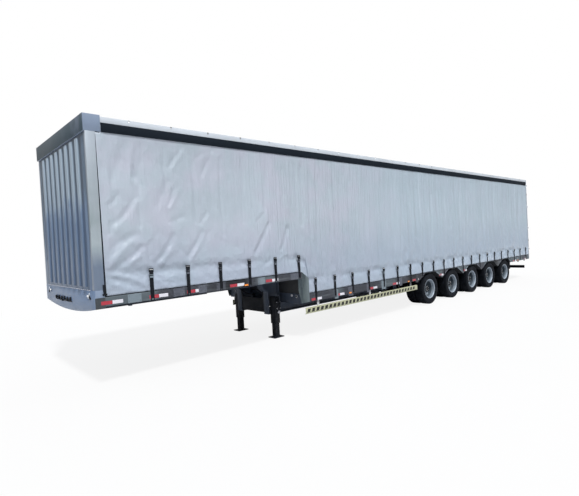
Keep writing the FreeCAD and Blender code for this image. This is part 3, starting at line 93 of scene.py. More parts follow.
# Places read from the frame, in metres.
FRONT = CAD_BOX[1].x
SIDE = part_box("side_raves")[1].y
UPPER_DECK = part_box("upper_deck")[1].z
LOWER_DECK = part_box("lower_deck")[1].z
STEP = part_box("upper_deck")[0].x
RAVE_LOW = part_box("side_raves")[0].z
POST_LOW, POST_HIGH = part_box("corner_posts")
RAIL_LOW, RAIL_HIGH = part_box("cant_rails")
HEADER_LOW, HEADER_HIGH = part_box("front_header")
APRON_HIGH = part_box("front_apron")[1]
FRAME_LOW, FRAME_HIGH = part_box("rear_frame")
CURTAIN_LOW, CURTAIN_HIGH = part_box("curtain_left")
GUARD_LOW, GUARD_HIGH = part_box("side_guards")
STEP_PANEL_LOW, STEP_PANEL_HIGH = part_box("step_panels")
UPPER_RAVE_LOW = UPPER_DECK - 0.130


# ------------------------------------------------------------------ sizes and colours
class TrailerSizes(bpy.types.PropertyGroup):
    """Sizes of the dressing that a user would change."""

    tyre_steps: IntProperty(name="Tyre steps", description="Faces round a tyre", default=144, min=48)
    tread_depth: FloatProperty(
        name="Tread depth", description="Depth of the grooves", default=0.012, unit="LENGTH"
    )
    strap_width: FloatProperty(name="Strap width", description="Curtain webbing", default=0.06, unit="LENGTH")
    wrinkle: FloatProperty(
        name="Wrinkle", description="Depth of the curtain's creases", default=0.040, unit="LENGTH"
    )
    tape_length: FloatProperty(
        name="Tape length", description="A red and white marking", default=0.3, unit="LENGTH"
    )
    tape_height: FloatProperty(
        name="Tape height", description="A red and white marking", default=0.05, unit="LENGTH"
    )


def tint(name, words, colour):
    """A colour setting."""
    return FloatVectorProperty(
        name=name, description=words, subtype="COLOR", size=3, default=colour, min=0, max=1
    )


class TrailerColours(bpy.types.PropertyGroup):
    """Colours of the finishes, linear."""

    curtain: tint("Curtain", "Coated curtain sheet", (0.365, 0.42, 0.48))
    panel: tint("Panel", "Front wall, header and apron", (0.19, 0.24, 0.33))
    post: tint("Post", "Corner posts and rear frame", (0.36, 0.40, 0.47))
    zinc: tint("Zinc", "Raves and step panels", (0.042, 0.046, 0.058))
    chassis: tint("Chassis", "Beams and bearers", (0.040, 0.056, 0.088))
    black: tint("Black", "Legs, axles and guards", (0.006, 0.008, 0.013))
    rail: tint("Rail", "Cant rails", (0.46, 0.50, 0.55))
    rim: tint("Rim", "Wheel rims", (0.36, 0.38, 0.41))
    guard: tint("Guard", "Side guard rails", (0.37, 0.38, 0.26))


def sizes():
    return bpy.context.scene.trailer_sizes


def colours():
    return bpy.context.scene.trailer_colours


def setting(name):
    """A colour as the user has set it."""
    return tuple(getattr(colours(), name))


# ------------------------------------------------------------------ shader maths
class Value:
    """One output of a shader tree. Arithmetic on it adds the Math nodes."""

    def __init__(self, tree, socket):
        self.tree, self.socket = tree, socket

    def maths(self, operation, *others, clamp=False):
        node = self.tree.nodes.new("ShaderNodeMath")
        node.operation = operation
        node.use_clamp = clamp
        for place, item in enumerate((self,) + others):
            connect(self.tree, item, node.inputs[place])
        return Value(self.tree, node.outputs[0])

    def __add__(self, other):
        return self.maths("ADD", other)

    def __sub__(self, other):
        return self.maths("SUBTRACT", other)

    def __mul__(self, other):
        return self.maths("MULTIPLY", other)

    def __rsub__(self, other):
        return self.maths("MULTIPLY", -1.0).maths("ADD", other)

    def __abs__(self):
        return self.maths("ABSOLUTE")

    __radd__ = __add__
    __rmul__ = __mul__

    def above(self, level):
        return self.maths("GREATER_THAN", level)

    def ramp(self, low, high):
        """0 below low, 1 above high, and straight between."""
        return ((self - low) * (1.0 / (high - low))).maths("MULTIPLY", 1.0, clamp=True)


def connect(tree, item, socket):
    """Link a Value, or set a number or a colour, on a socket."""
    if isinstance(item, Value):
        tree.links.new(item.socket, socket)
    elif isinstance(item, tuple):
        socket.default_value = item + (1.0,) if socket.type == "RGBA" and len(item) == 3 else item
    else:
        socket.default_value = item


def blended(tree, share, first, second):
    """Blend two colours by a value."""
    node = tree.nodes.new("ShaderNodeMix")
    node.data_type = "RGBA"
    connect(tree, share, node.inputs["Factor"])
    connect(tree, first, node.inputs["A"])
    connect(tree, second, node.inputs["B"])
    return Value(tree, node.outputs["Result"])


class Finish:
    """A material under construction."""

    def __init__(self, name):
        self.material = bpy.data.materials.new(name)
        self.material.use_nodes = True
        self.tree = self.material.node_tree
        self.shader = self.tree.nodes["Principled BSDF"]
        self.place = self.node("ShaderNodeTexCoord", out="Object")

    def node(self, kind, settings=None, out=0, **values):
        """Add a node of a type, with its settings first and then its sockets' values or links."""
        node = self.tree.nodes.new(kind)
        for key, item in (settings or {}).items():
            setattr(node, key, item)
        for key, item in values.items():
            connect(self.tree, item, node.inputs[key.replace("_", " ")])
        return Value(self.tree, node.outputs[out])

    def noise(self, scale, detail=3.0, roughness=0.55, stretch=None):
        """Noise on object coordinates; stretch scales the axes first."""
        vector = self.place
        if stretch:
            vector = self.node("ShaderNodeMapping", out=0, Vector=vector, Scale=stretch)
        return self.node(
            "ShaderNodeTexNoise", out="Fac", Vector=vector, Scale=scale, Detail=detail, Roughness=roughness
        )

    def cells(self, scale, stretch=(1.0, 1.0, 1.0)):
        """Distance to the nearest of a scatter of points."""
        vector = self.node("ShaderNodeMapping", out=0, Vector=self.place, Scale=stretch)
        return self.node("ShaderNodeTexVoronoi", out="Distance", Vector=vector, Scale=scale)

    def axis(self, letter):
        return self.node("ShaderNodeSeparateXYZ", out=letter, Vector=self.place)

    def ramp(self, letter, low, high):
        """0 below a place on an axis, 1 above another, and straight between."""
        return self.axis(letter).ramp(low, high)

    def wave(self, letter, scale):
        """Fine parallel ribs, one after another along an axis."""
        return self.node(
            "ShaderNodeTexWave", {"bands_direction": letter}, out="Fac", Vector=self.place, Scale=scale
        )

    def mix(self, share, first, second):
        return blended(self.tree, share, first, second)

    def mottled(self, cloud, colour, low, high):
        """A colour that drifts between two shades of itself."""
        return self.mix(cloud.ramp(0.3, 0.7), shade(colour, low), shade(colour, high))

    def set(self, **values):
        """Set the shader's sockets; names use an underscore for a space."""
        for key, item in values.items():
            connect(self.tree, item, self.shader.inputs[key.replace("_", " ")])

    def bump(self, height, distance, strength=1.0):
        node = self.tree.nodes.new("ShaderNodeBump")
        node.inputs["Strength"].default_value = strength
        node.inputs["Distance"].default_value = distance
        connect(self.tree, height, node.inputs["Height"])
        self.tree.links.new(node.outputs["Normal"], self.shader.inputs["Normal"])
        return self


def shade(colour, *factors):
    """A colour times one factor, or times a factor for each of red, green and blue."""
    return tuple(min(1.0, part * factor) for part, factor in zip(colour, factors * (3 // len(factors))))


# colours of dirt, wear and unpainted parts, and of painted reflections, glints and shade, linear
ROAD_DUST = (0.16, 0.145, 0.125)
BRAKE_DUST = (0.12, 0.115, 0.11)
RUST = (0.13, 0.085, 0.06)
WORN_ZINC = (0.26, 0.30, 0.31)
# painted reflection: bright streaks within the front wall's painted sky reflection
SKY_REFLECTION_STREAK = (0.55, 0.62, 0.68)
FILM_GLINT = (0.60, 0.68, 0.78)
DARK_STRIP = (0.040, 0.048, 0.056)
# painted shade: the corner posts' foot, below their painted highlight
POST_FOOT_SHADE = (0.155, 0.200, 0.275)
POST_FRONT = (0.12, 0.165, 0.235)
STREAKED_ZINC = (0.17, 0.215, 0.215)
BRIGHT_ZINC = (0.20, 0.245, 0.26)
UNDERCOAT = (0.012, 0.014, 0.018)
CLEAN_RUBBER = (0.004, 0.0055, 0.009)
DARK_WOOD = (0.030, 0.020, 0.013)
PALE_WOOD = (0.075, 0.050, 0.032)
BOARD_GAP = (0.01, 0.008, 0.006)
RIB_PITCH, RIBS = 0.257, 8


def ribbed_wall(name, colour):
    """The front wall's gloss paint: a painted sky reflection makes the ribs bright above a ragged skyline,
    and painted shade makes them dull below and dark in the valleys.
    """
    finish = Finish(name)
    cloud = finish.noise(1.1, 4.0)
    ragged = finish.noise(7.0, 5.0, stretch=(1.0, 1.0, 0.5))
    streak = finish.noise(3.0, 5.0, stretch=(1.0, 5.0, 0.25))
    # painted reflection: above a ragged skyline the ribs take a bright sky reflection, and the plain band
    # beside them a darker one
    height = finish.axis("Z") + (ragged - 0.5) * 0.9
    sky = height.ramp(2.48, 2.80)
    # painted shade: the ribs darken towards the foot
    rise = finish.ramp("Z", 1.5, 2.5)
    phase = (finish.axis("Y") * (1 / RIB_PITCH) + 20.5).maths("FRACT")
    # painted shade in the valleys between the ribs
    valley_shade = 1.0 - abs(phase - 0.44).ramp(0.14, 0.23)
    edge = abs(finish.axis("Y")).ramp(RIBS / 2 * RIB_PITCH - 0.045, RIBS / 2 * RIB_PITCH - 0.025)
    # painted shade under the header, in the valleys' colour
    top = finish.ramp("Z", HEADER_LOW.z - 0.060, HEADER_LOW.z - 0.035)
    valley_shade = valley_shade.maths("MAXIMUM", top)
    dull = finish.mix(rise, shade(colour, 0.50, 0.60, 0.70), shade(colour, 0.76, 0.85, 0.92))
    bright = finish.mix(sky, dull, shade(colour, 1.50, 1.48, 1.30))
    bright = finish.mix(edge, bright, finish.mix(sky, dull, shade(colour, 0.56, 0.62, 0.62)))
    # painted reflection: light streaks within the sky reflection
    bright = finish.mix(streak.ramp(0.55, 0.8) * 0.3 * sky, bright, SKY_REFLECTION_STREAK)
    bright = finish.mix(cloud.ramp(0.45, 0.75) * 0.2, bright, shade(colour, 1.1))
    # painted shade: the valleys' colour, lighter within the painted sky reflection
    low = finish.mix(rise, shade(colour, 0.24, 0.33, 0.42), shade(colour, 0.34, 0.41, 0.50))
    groove = finish.mix(sky, low, shade(colour, 0.34, 0.36, 0.36))
    # painted shade on one flank of each rib, below the skyline
    flank_shade = 1.0 - abs(phase - 0.24).ramp(0.03, 0.07)
    groove = finish.mix(flank_shade * (1.0 - sky) * 0.8, groove, shade(colour, 0.08, 0.14, 0.22))
    finish.set(Base_Color=finish.mix(valley_shade, bright, groove), Roughness=0.34 + cloud * 0.1)
    finish.set(Specular_IOR_Level=0.3, Coat_Weight=0.05)
    return finish.bump(finish.noise(40.0, 3.0), 0.0008, 0.25).material


def front_paint(name, colour):
    """The header's and apron's gloss paint: painted shade makes its forward face darker than the sides, with
    a painted reflection patch high up towards +Y and soft patches lower down.
    """
    finish = Finish(name)
    cloud = finish.noise(1.3, 4.0)
    patch = finish.noise(2.4, 5.0, stretch=(1.0, 1.0, 0.6))
    side = finish.mottled(cloud, colour, 0.94, 1.08)
    strip = abs(finish.axis("Y")).above(SIDE - 0.004) * (1.0 - finish.axis("Z").above(UPPER_DECK - 0.003))
    side = finish.mix(strip, side, DARK_STRIP)
    # painted reflection: a lighter patch high on the forward face, towards +Y
    share = patch.ramp(0.45, 0.6) * finish.ramp("Y", 0.1, 1.1)
    upper = finish.mix(share, shade(colour, 0.16, 0.24, 0.24), shade(colour, 0.55))
    lower = finish.mix(patch.ramp(0.4, 0.7), shade(colour, 0.62, 0.74, 0.88), shade(colour, 0.76, 0.88, 1.0))
    face = finish.mix(finish.ramp("Z", 2.0, 3.0), lower, upper)
    # painted shade: the forward faces take the darker colour
    reach = finish.ramp("Z", 2.0, 3.0) * (HEADER_HIGH.x - APRON_HIGH.x)
    forward = (finish.axis("X") - reach).ramp(APRON_HIGH.x - 0.006, APRON_HIGH.x - 0.001) * (1.0 - strip)
    finish.set(Base_Color=finish.mix(forward, side, face), Roughness=0.32 + cloud * 0.12)
    finish.set(Specular_IOR_Level=0.4, Coat_Weight=0.05)
    return finish.bump(finish.noise(120.0, 2.0), 0.0004, 0.25).material


def post_paint(name, colour):
    """The corner posts' silver paint, with a painted mottled reflection in long uneven bands, a painted
    highlight towards the top and painted shade at the foot.
    """
    finish = Finish(name)
    band = finish.noise(1.6, 5.0, stretch=(0.4, 0.4, 1.0))
    fine = finish.noise(8.0, 5.0, stretch=(1.0, 1.0, 0.3))
    # painted reflection in long uneven bands, with lighter flecks
    base = finish.mix(band.ramp(0.35, 0.65), shade(colour, 0.92, 0.98, 0.90), shade(colour, 1.24, 1.26, 1.16))
    base = finish.mix(fine.ramp(0.5, 0.75) * 0.3, base, shade(colour, 1.2))
    # painted highlight towards the top
    base = finish.mix(finish.ramp("Z", 2.4, 3.5) * 0.6, base, shade(colour, 1.32))
    # painted shade: a darker foot under a ragged edge
    foot = 1.0 - (finish.axis("Z") + fine * 0.2).ramp(1.85, 2.15)
    base = finish.mix(foot, base, POST_FOOT_SHADE)
    inside = 1.0 - abs(finish.axis("Y")).ramp(SIDE - 0.055, SIDE - 0.035)
    forward = finish.ramp("X", POST_HIGH.x - 0.012, POST_HIGH.x - 0.002) * inside
    base = finish.mix(forward, base, POST_FRONT)
    finish.set(Base_Color=base, Roughness=0.26 + fine * 0.15, Metallic=0.45, Coat_Weight=0.2)
    return finish.bump(finish.noise(90.0, 3.0), 0.0005, 0.25).material


def painted(name, colour, rough=0.38, metal=0.0, coat=0.0, dirt=0.25, gloss=0.5, foot_shade=1.0):
    """Sprayed paint: faint orange peel, broad tone shifts, dust low down, and painted shade that darkens it
    towards the foot.
    """
    finish = Finish(name)
    cloud = finish.noise(1.3, 4.0)
    fine = finish.noise(9.0, 5.0)
    base = finish.mottled(cloud, colour, 0.92, 1.08)
    # painted shade: a reflection of the ground darkens the paint towards the foot, by the factor given
    if foot_shade < 1.0:
        shaded_foot = finish.mottled(cloud, colour, foot_shade * 0.95, foot_shade * 1.05)
        base = finish.mix(finish.ramp("Z", 1.3, 3.3), shaded_foot, base)
    low = 1.0 - finish.ramp("Z", 0.2, 1.4)
    dust = fine.ramp(0.45, 0.75) * low * dirt
    finish.set(Base_Color=finish.mix(dust, base, ROAD_DUST))
    finish.set(Roughness=rough + fine * 0.14 + dust * 0.3)
    finish.set(Metallic=metal, Coat_Weight=coat, Specular_IOR_Level=gloss)
    return finish.bump(finish.noise(260.0, 2.0), 0.0004, 0.25).material


def galvanised(name, colour):
    """Zinc: spangle, streaks, dull patches and a little rust."""
    finish = Finish(name)
    spangle = finish.cells(28.0)
    streak = finish.noise(2.2, 5.0, stretch=(0.6, 0.6, 6.0))
    tone = finish.mix(spangle.ramp(0.05, 0.65), shade(colour, 0.82), shade(colour, 1.3))
    worn = streak.ramp(0.56, 0.76)
    sheet = finish.noise(1.1, 1.0, stretch=(1.0, 0.1, 0.1))
    tone = finish.mix(sheet.ramp(0.50, 0.56), tone, shade(colour, 2.2, 2.5, 2.3))
    tone = finish.mix(1.0 - sheet.ramp(0.36, 0.42), tone, shade(colour, 0.4))
    rust = finish.noise(1.7, 3.0).ramp(0.66, 0.74) * 0.4
    tone = finish.mix(rust, tone, RUST)
    finish.set(Base_Color=finish.mix(worn * 0.3, tone, WORN_ZINC))
    finish.set(Roughness=0.42 + spangle * 0.25, Metallic=0.45)
    return finish.bump(finish.noise(60.0), 0.0006, 0.3).material


def step_skin(name, colour):
    """Zinc outside and dark paint on the panel between the sides."""
    finish = Finish(name)
    spangle = finish.cells(22.0)
    streak = finish.noise(5.0, 5.0, stretch=(2.4, 1.0, 0.45))
    tone = finish.mix(spangle.ramp(0.05, 0.65), shade(colour, 0.8, 1.0, 0.95), shade(colour, 1.2, 1.5, 1.4))
    tone = finish.mix(streak.ramp(0.42, 0.7) * 0.6, tone, STREAKED_ZINC)
    edge = 1.0 - finish.ramp("X", STEP_PANEL_LOW.x + 0.05, STEP_PANEL_LOW.x + 0.12)
    tone = finish.mix(edge * 0.6, tone, BRIGHT_ZINC)
    outside = abs(finish.axis("Y")).above(SIDE - 0.02)
    finish.set(Base_Color=finish.mix(outside, UNDERCOAT, tone))
    finish.set(Roughness=0.42 + spangle * 0.2, Metallic=outside * 0.5)
    return finish.bump(finish.noise(60.0), 0.0006, 0.3).material


def curtain_sheet(name, colour):
    """Coated polyester: faint scrim weave, broad tone shifts and soft gloss, with painted highlights and
    shade in streaks over the rear, painted shade low down and painted glints along the rear hem.
    """
    finish = Finish(name)
    cloud = finish.noise(0.8, 5.0)
    scuff = finish.noise(5.0, 6.0, stretch=(1.0, 1.0, 2.4))
    base = finish.mottled(cloud, colour, 0.93, 1.06)
    base = finish.mix(scuff.ramp(0.55, 0.8) * 0.35, base, shade(colour, 1.22))
    base = finish.mix(finish.noise(1.7, 4.0).ramp(0.42, 0.62) * 0.8, base, shade(colour, 1.10, 1.0, 1.04))
    rear = 1.0 - finish.ramp("X", 0.5, 3.5)
    base = finish.mix(rear * 0.6, base, shade(colour, 0.90, 0.99, 1.0))
    # painted highlights and painted shade: light and dark vertical streaks over the rear
    streak = finish.noise(6.5, 4.0, stretch=(1.0, 1.0, 0.07))
    base = finish.mix(streak.ramp(0.56, 0.70) * rear * 0.30, base, shade(colour, 1.35))
    base = finish.mix((1.0 - streak.ramp(0.34, 0.46)) * rear * 0.30, base, shade(colour, 0.72))
    # painted shade, darker low down
    low = (1.0 - (finish.axis("Z") + cloud * 0.5).ramp(1.7, 2.6)) * 0.55
    base = finish.mix(low, base, shade(colour, 0.66, 0.70, 0.80))
    glint = finish.noise(11.0, 4.0, stretch=(1.0, 1.0, 0.5)).ramp(0.48, 0.78)
    hem = 1.0 - finish.ramp("Z", 1.10, 1.35)
    base = finish.mix(glint * hem * (1.0 - finish.ramp("X", -2.0, 1.0)) * 0.55, base, FILM_GLINT)
    finish.set(Base_Color=base, Roughness=0.26 + scuff * 0.2, Specular_IOR_Level=0.7)
    weave = (finish.wave("X", 120.0) + finish.wave("Z", 120.0)) * 0.008
    creases = finish.noise(16.0, 4.0, stretch=(1.0, 1.0, 0.35))
    folds = finish.noise(7.0, 3.0, stretch=(1.4, 1.0, 0.10))
    crumple = finish.cells(5.5, (1.0, 1.0, 0.7)) * (finish.ramp("X", 2.5, 7.0) * 0.8 + 0.1)
    foot = (1.0 - finish.ramp("Z", 1.5, 2.3)) * (finish.ramp("X", 4.4, 5.6) * 0.6 + 0.4)
    crumple = crumple + finish.cells(9.0, (1.0, 1.0, 1.3)) * foot * 0.8
    pleats = finish.noise(22.0, 2.0, stretch=(1.0, 1.0, 0.03)).ramp(0.42, 0.62)
    pleats = pleats * (finish.ramp("X", 1.5, 3.2) * (1.0 - finish.ramp("X", 4.9, 6.0)) * 0.45 + 0.06)
    height = weave + creases * 0.35 + folds * (0.9 + 0.8 * rear) + crumple * 0.9 + pleats
    return finish.bump(height, 0.016, 0.8).material


def webbing(name, colour):
    """Woven strap: ribs across and a frayed sheen."""
    finish = Finish(name)
    ribs = finish.wave("Z", 160.0)
    fine = finish.noise(40.0)
    finish.set(Base_Color=finish.mix(fine.ramp(0.4, 0.8) * 0.5, colour, shade(colour, 2.0)), Roughness=0.8)
    finish.set(Specular_IOR_Level=0.12)
    return finish.bump(ribs, 0.0008, 0.6).material


def tyre_rubber(name):
    """Black rubber with patches of dust."""
    finish = Finish(name)
    dust = finish.noise(14.0, 6.0).ramp(0.42, 0.75)
    finish.set(Base_Color=finish.mix(dust * 0.5, CLEAN_RUBBER, UNDERCOAT))
    finish.set(Roughness=0.66 + dust * 0.25, Specular_IOR_Level=0.12)
    return finish.bump(finish.noise(120.0), 0.0006, 0.4).material


def boards(name):
    """Coated deck boards running lengthwise."""
    finish = Finish(name)
    grain = finish.noise(3.0, 8.0, stretch=(0.8, 18.0, 4.0))
    across = finish.axis("Y") * 8.0
    joint = across.maths("FRACT").ramp(0.0, 0.05)
    wood = finish.mix(grain.ramp(0.3, 0.7), DARK_WOOD, PALE_WOOD)
    finish.set(Base_Color=finish.mix(joint, BOARD_GAP, wood), Roughness=0.55 + grain * 0.2)
    return finish.bump(grain * 0.4 + joint, 0.0015, 0.5).material


def lens(name, colour):
    """Moulded lamp lens with vertical optics."""
    finish = Finish(name)
    ribs = finish.wave("X", 70.0)
    finish.set(Base_Color=finish.mix(ribs, colour, shade(colour, 1.25)), Roughness=0.14, Coat_Weight=0.6)
    return finish.bump(ribs, 0.0012, 0.5).material


def tape(name, colour):
    """Reflective tape: a honeycomb under a glossy film."""
    finish = Finish(name)
    comb = finish.cells(160.0)
    finish.set(Base_Color=finish.mix(comb.ramp(0.1, 0.5), shade(colour, 0.85), colour))
    finish.set(Roughness=0.3, Coat_Weight=0.5)
    return finish.bump(comb, 0.0003, 0.3).material


def rim_paint(name, colour):
    """Silver rim paint, darker towards the middle of the wheel by painted shade, with patches of brake dust.
    """
    finish = Finish(name)
    fine = finish.noise(14.0, 5.0)
    # painted shade, deeper in away from the outer face
    deep = 1.0 - abs(finish.axis("Y")).ramp(1.13, 1.211)
    base = finish.mix(deep, shade(colour, 0.86, 0.96, 1.06), shade(colour, 0.22, 0.28, 0.33))
    base = finish.mix(fine.ramp(0.45, 0.7) * 0.35, base, BRAKE_DUST)
    finish.set(Base_Color=base, Roughness=0.46 + fine * 0.15, Metallic=0.35)
    return finish.bump(finish.noise(220.0, 2.0), 0.0004, 0.25).material


FINISHES = {}


def finishes():
    """Every material of the trailer, made once."""
    if FINISHES:
        return FINISHES
    FINISHES.update(
        curtain=curtain_sheet("curtain sheet", setting("curtain")),
        panel=painted(
            "blue-grey paint", setting("panel"), rough=0.3, metal=0.25, coat=0.35, dirt=0.1, foot_shade=0.72
        ),
        wall=ribbed_wall("front wall paint", setting("panel")),
        front=front_paint("front paint", setting("panel")),
        post=post_paint("silver paint", setting("post")),
        zinc=galvanised("galvanised steel", setting("zinc")),
        pale=galvanised("pale galvanised steel", shade(setting("zinc"), 2.1)),
        step=step_skin("step skin", setting("zinc")),
        chassis=painted("chassis paint", setting("chassis"), rough=0.45, dirt=0.35),
        black=painted("black paint", setting("black"), rough=0.5, dirt=0.15, gloss=0.2),
        rail=painted("pale rail paint", setting("rail"), rough=0.4, dirt=0.0),
        rim=rim_paint("rim paint", setting("rim")),
        guard=painted("guard rail paint", setting("guard"), rough=0.45, dirt=0.15),
        steel=galvanised("bright fittings", (0.45, 0.46, 0.48)),
        rubber=tyre_rubber("tyre rubber"),
        plastic=painted("black plastic", (0.006, 0.008, 0.012), rough=0.6, dirt=0.1, gloss=0.2),
        pelmet=painted("pelmet strip", (0.008, 0.012, 0.018), rough=0.7, dirt=0.0, gloss=0.08),
        webbing=webbing("strap webbing", (0.007, 0.008, 0.011)),
        boards=boards("deck boards"),
        amber=lens("amber lens", (0.75, 0.22, 0.02)),
        red=lens("red lens", (0.5, 0.012, 0.012)),
        white=lens("white lens", (0.8, 0.82, 0.85)),
        tape_red=tape("red tape", (0.36, 0.012, 0.030)),
        tape_white=tape("white tape", (0.62, 0.62, 0.68)),
        mark=painted("black marking", (0.01, 0.01, 0.008), rough=0.6, dirt=0.0),
    )
    return FINISHES


# ------------------------------------------------------------------ modelling helpers
# vertices nearer than this are one
MERGED = 0.00005


def deselect():
    if bpy.context.mode != "OBJECT":
        bpy.ops.object.mode_set(mode="OBJECT")
    bpy.ops.object.select_all(action="DESELECT")


def alone(piece):
    """Select one piece and nothing else, and make it the active one."""
    deselect()
    bpy.context.view_layer.objects.active = piece
    piece.select_set(True)
    return piece


def linked(name, data):
    """A new object in the scene, selected alone."""
    piece = bpy.data.objects.new(name, data)
    bpy.context.scene.collection.objects.link(piece)
    return alone(piece)


@contextmanager
def edited(piece):
    """Edit mode on one piece, with all of its mesh selected."""
    alone(piece)
    bpy.ops.object.mode_set(mode="EDIT")
    bpy.ops.mesh.select_all(action="SELECT")
    yield
    bpy.ops.object.mode_set(mode="OBJECT")


def named(piece, name):
    piece.name = piece.data.name = name
    return piece


def coated(piece, finish):
    """Give a piece or a CAD node one finish."""
    piece.data.materials.clear()
    piece.data.materials.append(finishes()[finish])
    return piece


def settle(name, finish=None):
    """Name the active object, move its place into its mesh and give it a finish."""
    piece = named(bpy.context.object, name)
    bpy.ops.object.transform_apply(location=True, rotation=True, scale=True)
    return coated(piece, finish) if finish else piece


def finished(piece, modifier, **settings):
    """Apply one modifier to a piece."""
    alone(piece)
    added = piece.modifiers.new(modifier.lower(), modifier)
    for key, item in settings.items():
        setattr(added, key, item)
    bpy.ops.object.modifier_apply(modifier=added.name)
    return piece


def bevelled(piece, width, segments=2):
    return finished(piece, "BEVEL", width=width, segments=segments, limit_method="ANGLE")


def box(name, low, high, finish, bevel=0.004):
    """A bevelled block between two corners."""
    deselect()
    low, high = Vector(low), Vector(high)
    bpy.ops.mesh.primitive_cube_add(size=1, location=(low + high) / 2)
    bpy.context.object.scale = high - low
    piece = settle(name, finish)
    return bevelled(piece, min(bevel, min(high - low) * 0.45)) if bevel else piece


def tube(name, start, end, radius, finish, sides=20, bevel=0.0):
    """A round bar between two points."""
    deselect()
    start, end = Vector(start), Vector(end)
    run = end - start
    bpy.ops.mesh.primitive_cylinder_add(
        vertices=sides, radius=radius, depth=run.length, location=(start + end) / 2,
        rotation=run.to_track_quat("Z", "Y").to_euler(),
    )
    piece = settle(name, finish)
    if bevel:
        bevelled(piece, bevel, 1)
    return smooth(piece)


def smooth(piece, angle=35):
    alone(piece)
    bpy.ops.object.shade_smooth_by_angle(angle=math.radians(angle))
    return piece


def facing_out(piece):
    """Turn a closed shell's faces outwards."""
    with edited(piece):
        bpy.ops.mesh.normals_make_consistent(inside=False)
    return piece


def lathe(name, profile, finish, steps):
    """A closed ring of (y, radius) points, spun about the Y axis."""
    mesh = bpy.data.meshes.new(name)
    points = [(0, y, radius) for y, radius in profile]
    edges = [(index, (index + 1) % len(points)) for index in range(len(points))]
    mesh.from_pydata(points, edges, [])
    piece = linked(name, mesh)
    with edited(piece):
        bpy.ops.mesh.spin(steps=steps, angle=TAU, center=(0, 0, 0), axis=(0, 1, 0))
        bpy.ops.mesh.select_all(action="SELECT")
        bpy.ops.mesh.remove_doubles(threshold=MERGED)
        bpy.ops.mesh.normals_make_consistent(inside=False)
    return coated(piece, finish)


def moved(piece, matrix, name=None):
    """A copy of a piece with its own mesh, moved by a matrix."""
    twin = piece.copy()
    twin.data = piece.data.copy()
    twin.data.transform(matrix)
    if matrix.determinant() < 0:
        twin.data.flip_normals()
    bpy.context.scene.collection.objects.link(twin)
    return named(twin, name) if name else twin


def shifted(piece, *step):
    return moved(piece, Matrix.Translation(step))


def right_hand(piece):
    """The mirror image across the centreline."""
    return moved(piece, Matrix.Scale(-1, 4, (0, 1, 0)))


def joined(name, items):
    """One object from several, keeping their materials."""
    deselect()
    for item in items:
        item.select_set(True)
    bpy.context.view_layer.objects.active = items[0]
    if len(items) > 1:
        bpy.ops.object.join()
    return named(bpy.context.object, name)


def removed(*items):
    for item in items:
        bpy.data.objects.remove(item)


def plate(name, outline, low, high, finish, bevel=0.0015):
    """A flat piece with an (x, z) outline, extruded along Y between two places."""
    mesh = bpy.data.meshes.new(name)
    mesh.from_pydata([(x, low, z) for x, z in outline], [], [tuple(range(len(outline)))])
    piece = linked(name, mesh)
    with edited(piece):
        bpy.ops.mesh.extrude_region_move(TRANSFORM_OT_translate={"value": (0, high - low, 0)})
        bpy.ops.mesh.select_all(action="SELECT")
        bpy.ops.mesh.normals_make_consistent(inside=False)
    coated(piece, finish)
    return bevelled(piece, bevel) if bevel else piece


def pipe(name, points, radius, finish):
    """A bent pipe or rod along a smooth line of points."""
    data = bpy.data.curves.new(name, "CURVE")
    data.dimensions = "3D"
    data.bevel_depth = radius
    data.bevel_resolution = 2
    data.use_fill_caps = True
    spline = data.splines.new("NURBS")
    spline.points.add(len(points) - 1)
    for point, place in zip(spline.points, points):
        point.co = (*place, 1.0)
    spline.use_endpoint_u = True
    spline.order_u = min(4, len(points))
    spline.resolution_u = 4
    linked(name, data)
    bpy.ops.object.convert(target="MESH")
    return smooth(coated(bpy.context.object, finish))


class Parts(list):
    """Small pieces gathered up, to be joined into one."""

    def box(self, *shape):
        self.append(box(*shape))

    def tube(self, *shape):
        self.append(tube(*shape))

    def pipe(self, *shape):
        self.append(pipe(*shape))


def both_sides(name, parts, slot, *nodes, bodies=("trailer", "trailer")):
    """Join the parts of the left side, mirror them, and mount both."""
    left = joined(name + "_left", parts)
    right = named(right_hand(left), name + "_right")
    for piece, body in zip((left, right), bodies):
        mount(piece, body, slot, *nodes)
    return left, right


def softened(node, finish, slot, width):
    """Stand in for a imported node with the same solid, its edges rounded."""
    piece = linked(node + "_dressed", frame["nodes"][node].data.copy())
    with edited(piece):
        bpy.ops.mesh.remove_doubles(threshold=MERGED)
        bpy.ops.mesh.dissolve_limited(angle_limit=math.radians(1.0))
        bpy.ops.mesh.normals_make_consistent(inside=False)
    coated(piece, finish)
    return mount(smooth(bevelled(piece, width), 38), "trailer", slot, node)


def mount(piece, body, slot, *nodes):
    """Put a finished piece on a body and hide the imported nodes it stands in for; the slot is not used."""
    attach(piece, body)
    if nodes:
        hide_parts(*nodes)
    return piece


def islands(node):
    """The boxes of a CAD node's separate solids, as (low, high) corners."""
    mesh = bmesh.new()
    mesh.from_mesh(frame["nodes"][node].data)
    bmesh.ops.remove_doubles(mesh, verts=mesh.verts, dist=0.00002)
    seen, found = set(), []
    for start in mesh.verts:
        if start in seen:
            continue
        stack, members = [start], []
        seen.add(start)
        while stack:
            vertex = stack.pop()
            members.append(vertex.co)
            for edge in vertex.link_edges:
                other = edge.other_vert(vertex)
                if other not in seen:
                    seen.add(other)
                    stack.append(other)
        found.append(
            (
                Vector(min(point[axis] for point in members) for axis in range(3)),
                Vector(max(point[axis] for point in members) for axis in range(3)),
            )
        )
    mesh.free()
    return sorted(found, key=lambda pair: (-pair[0].x, pair[0].y))


STRAPS = [pair for pair in islands("curtain_straps") if pair[0].y > 0]
STRAP_STATIONS = [(low.x + high.x) / 2 for low, high in STRAPS]


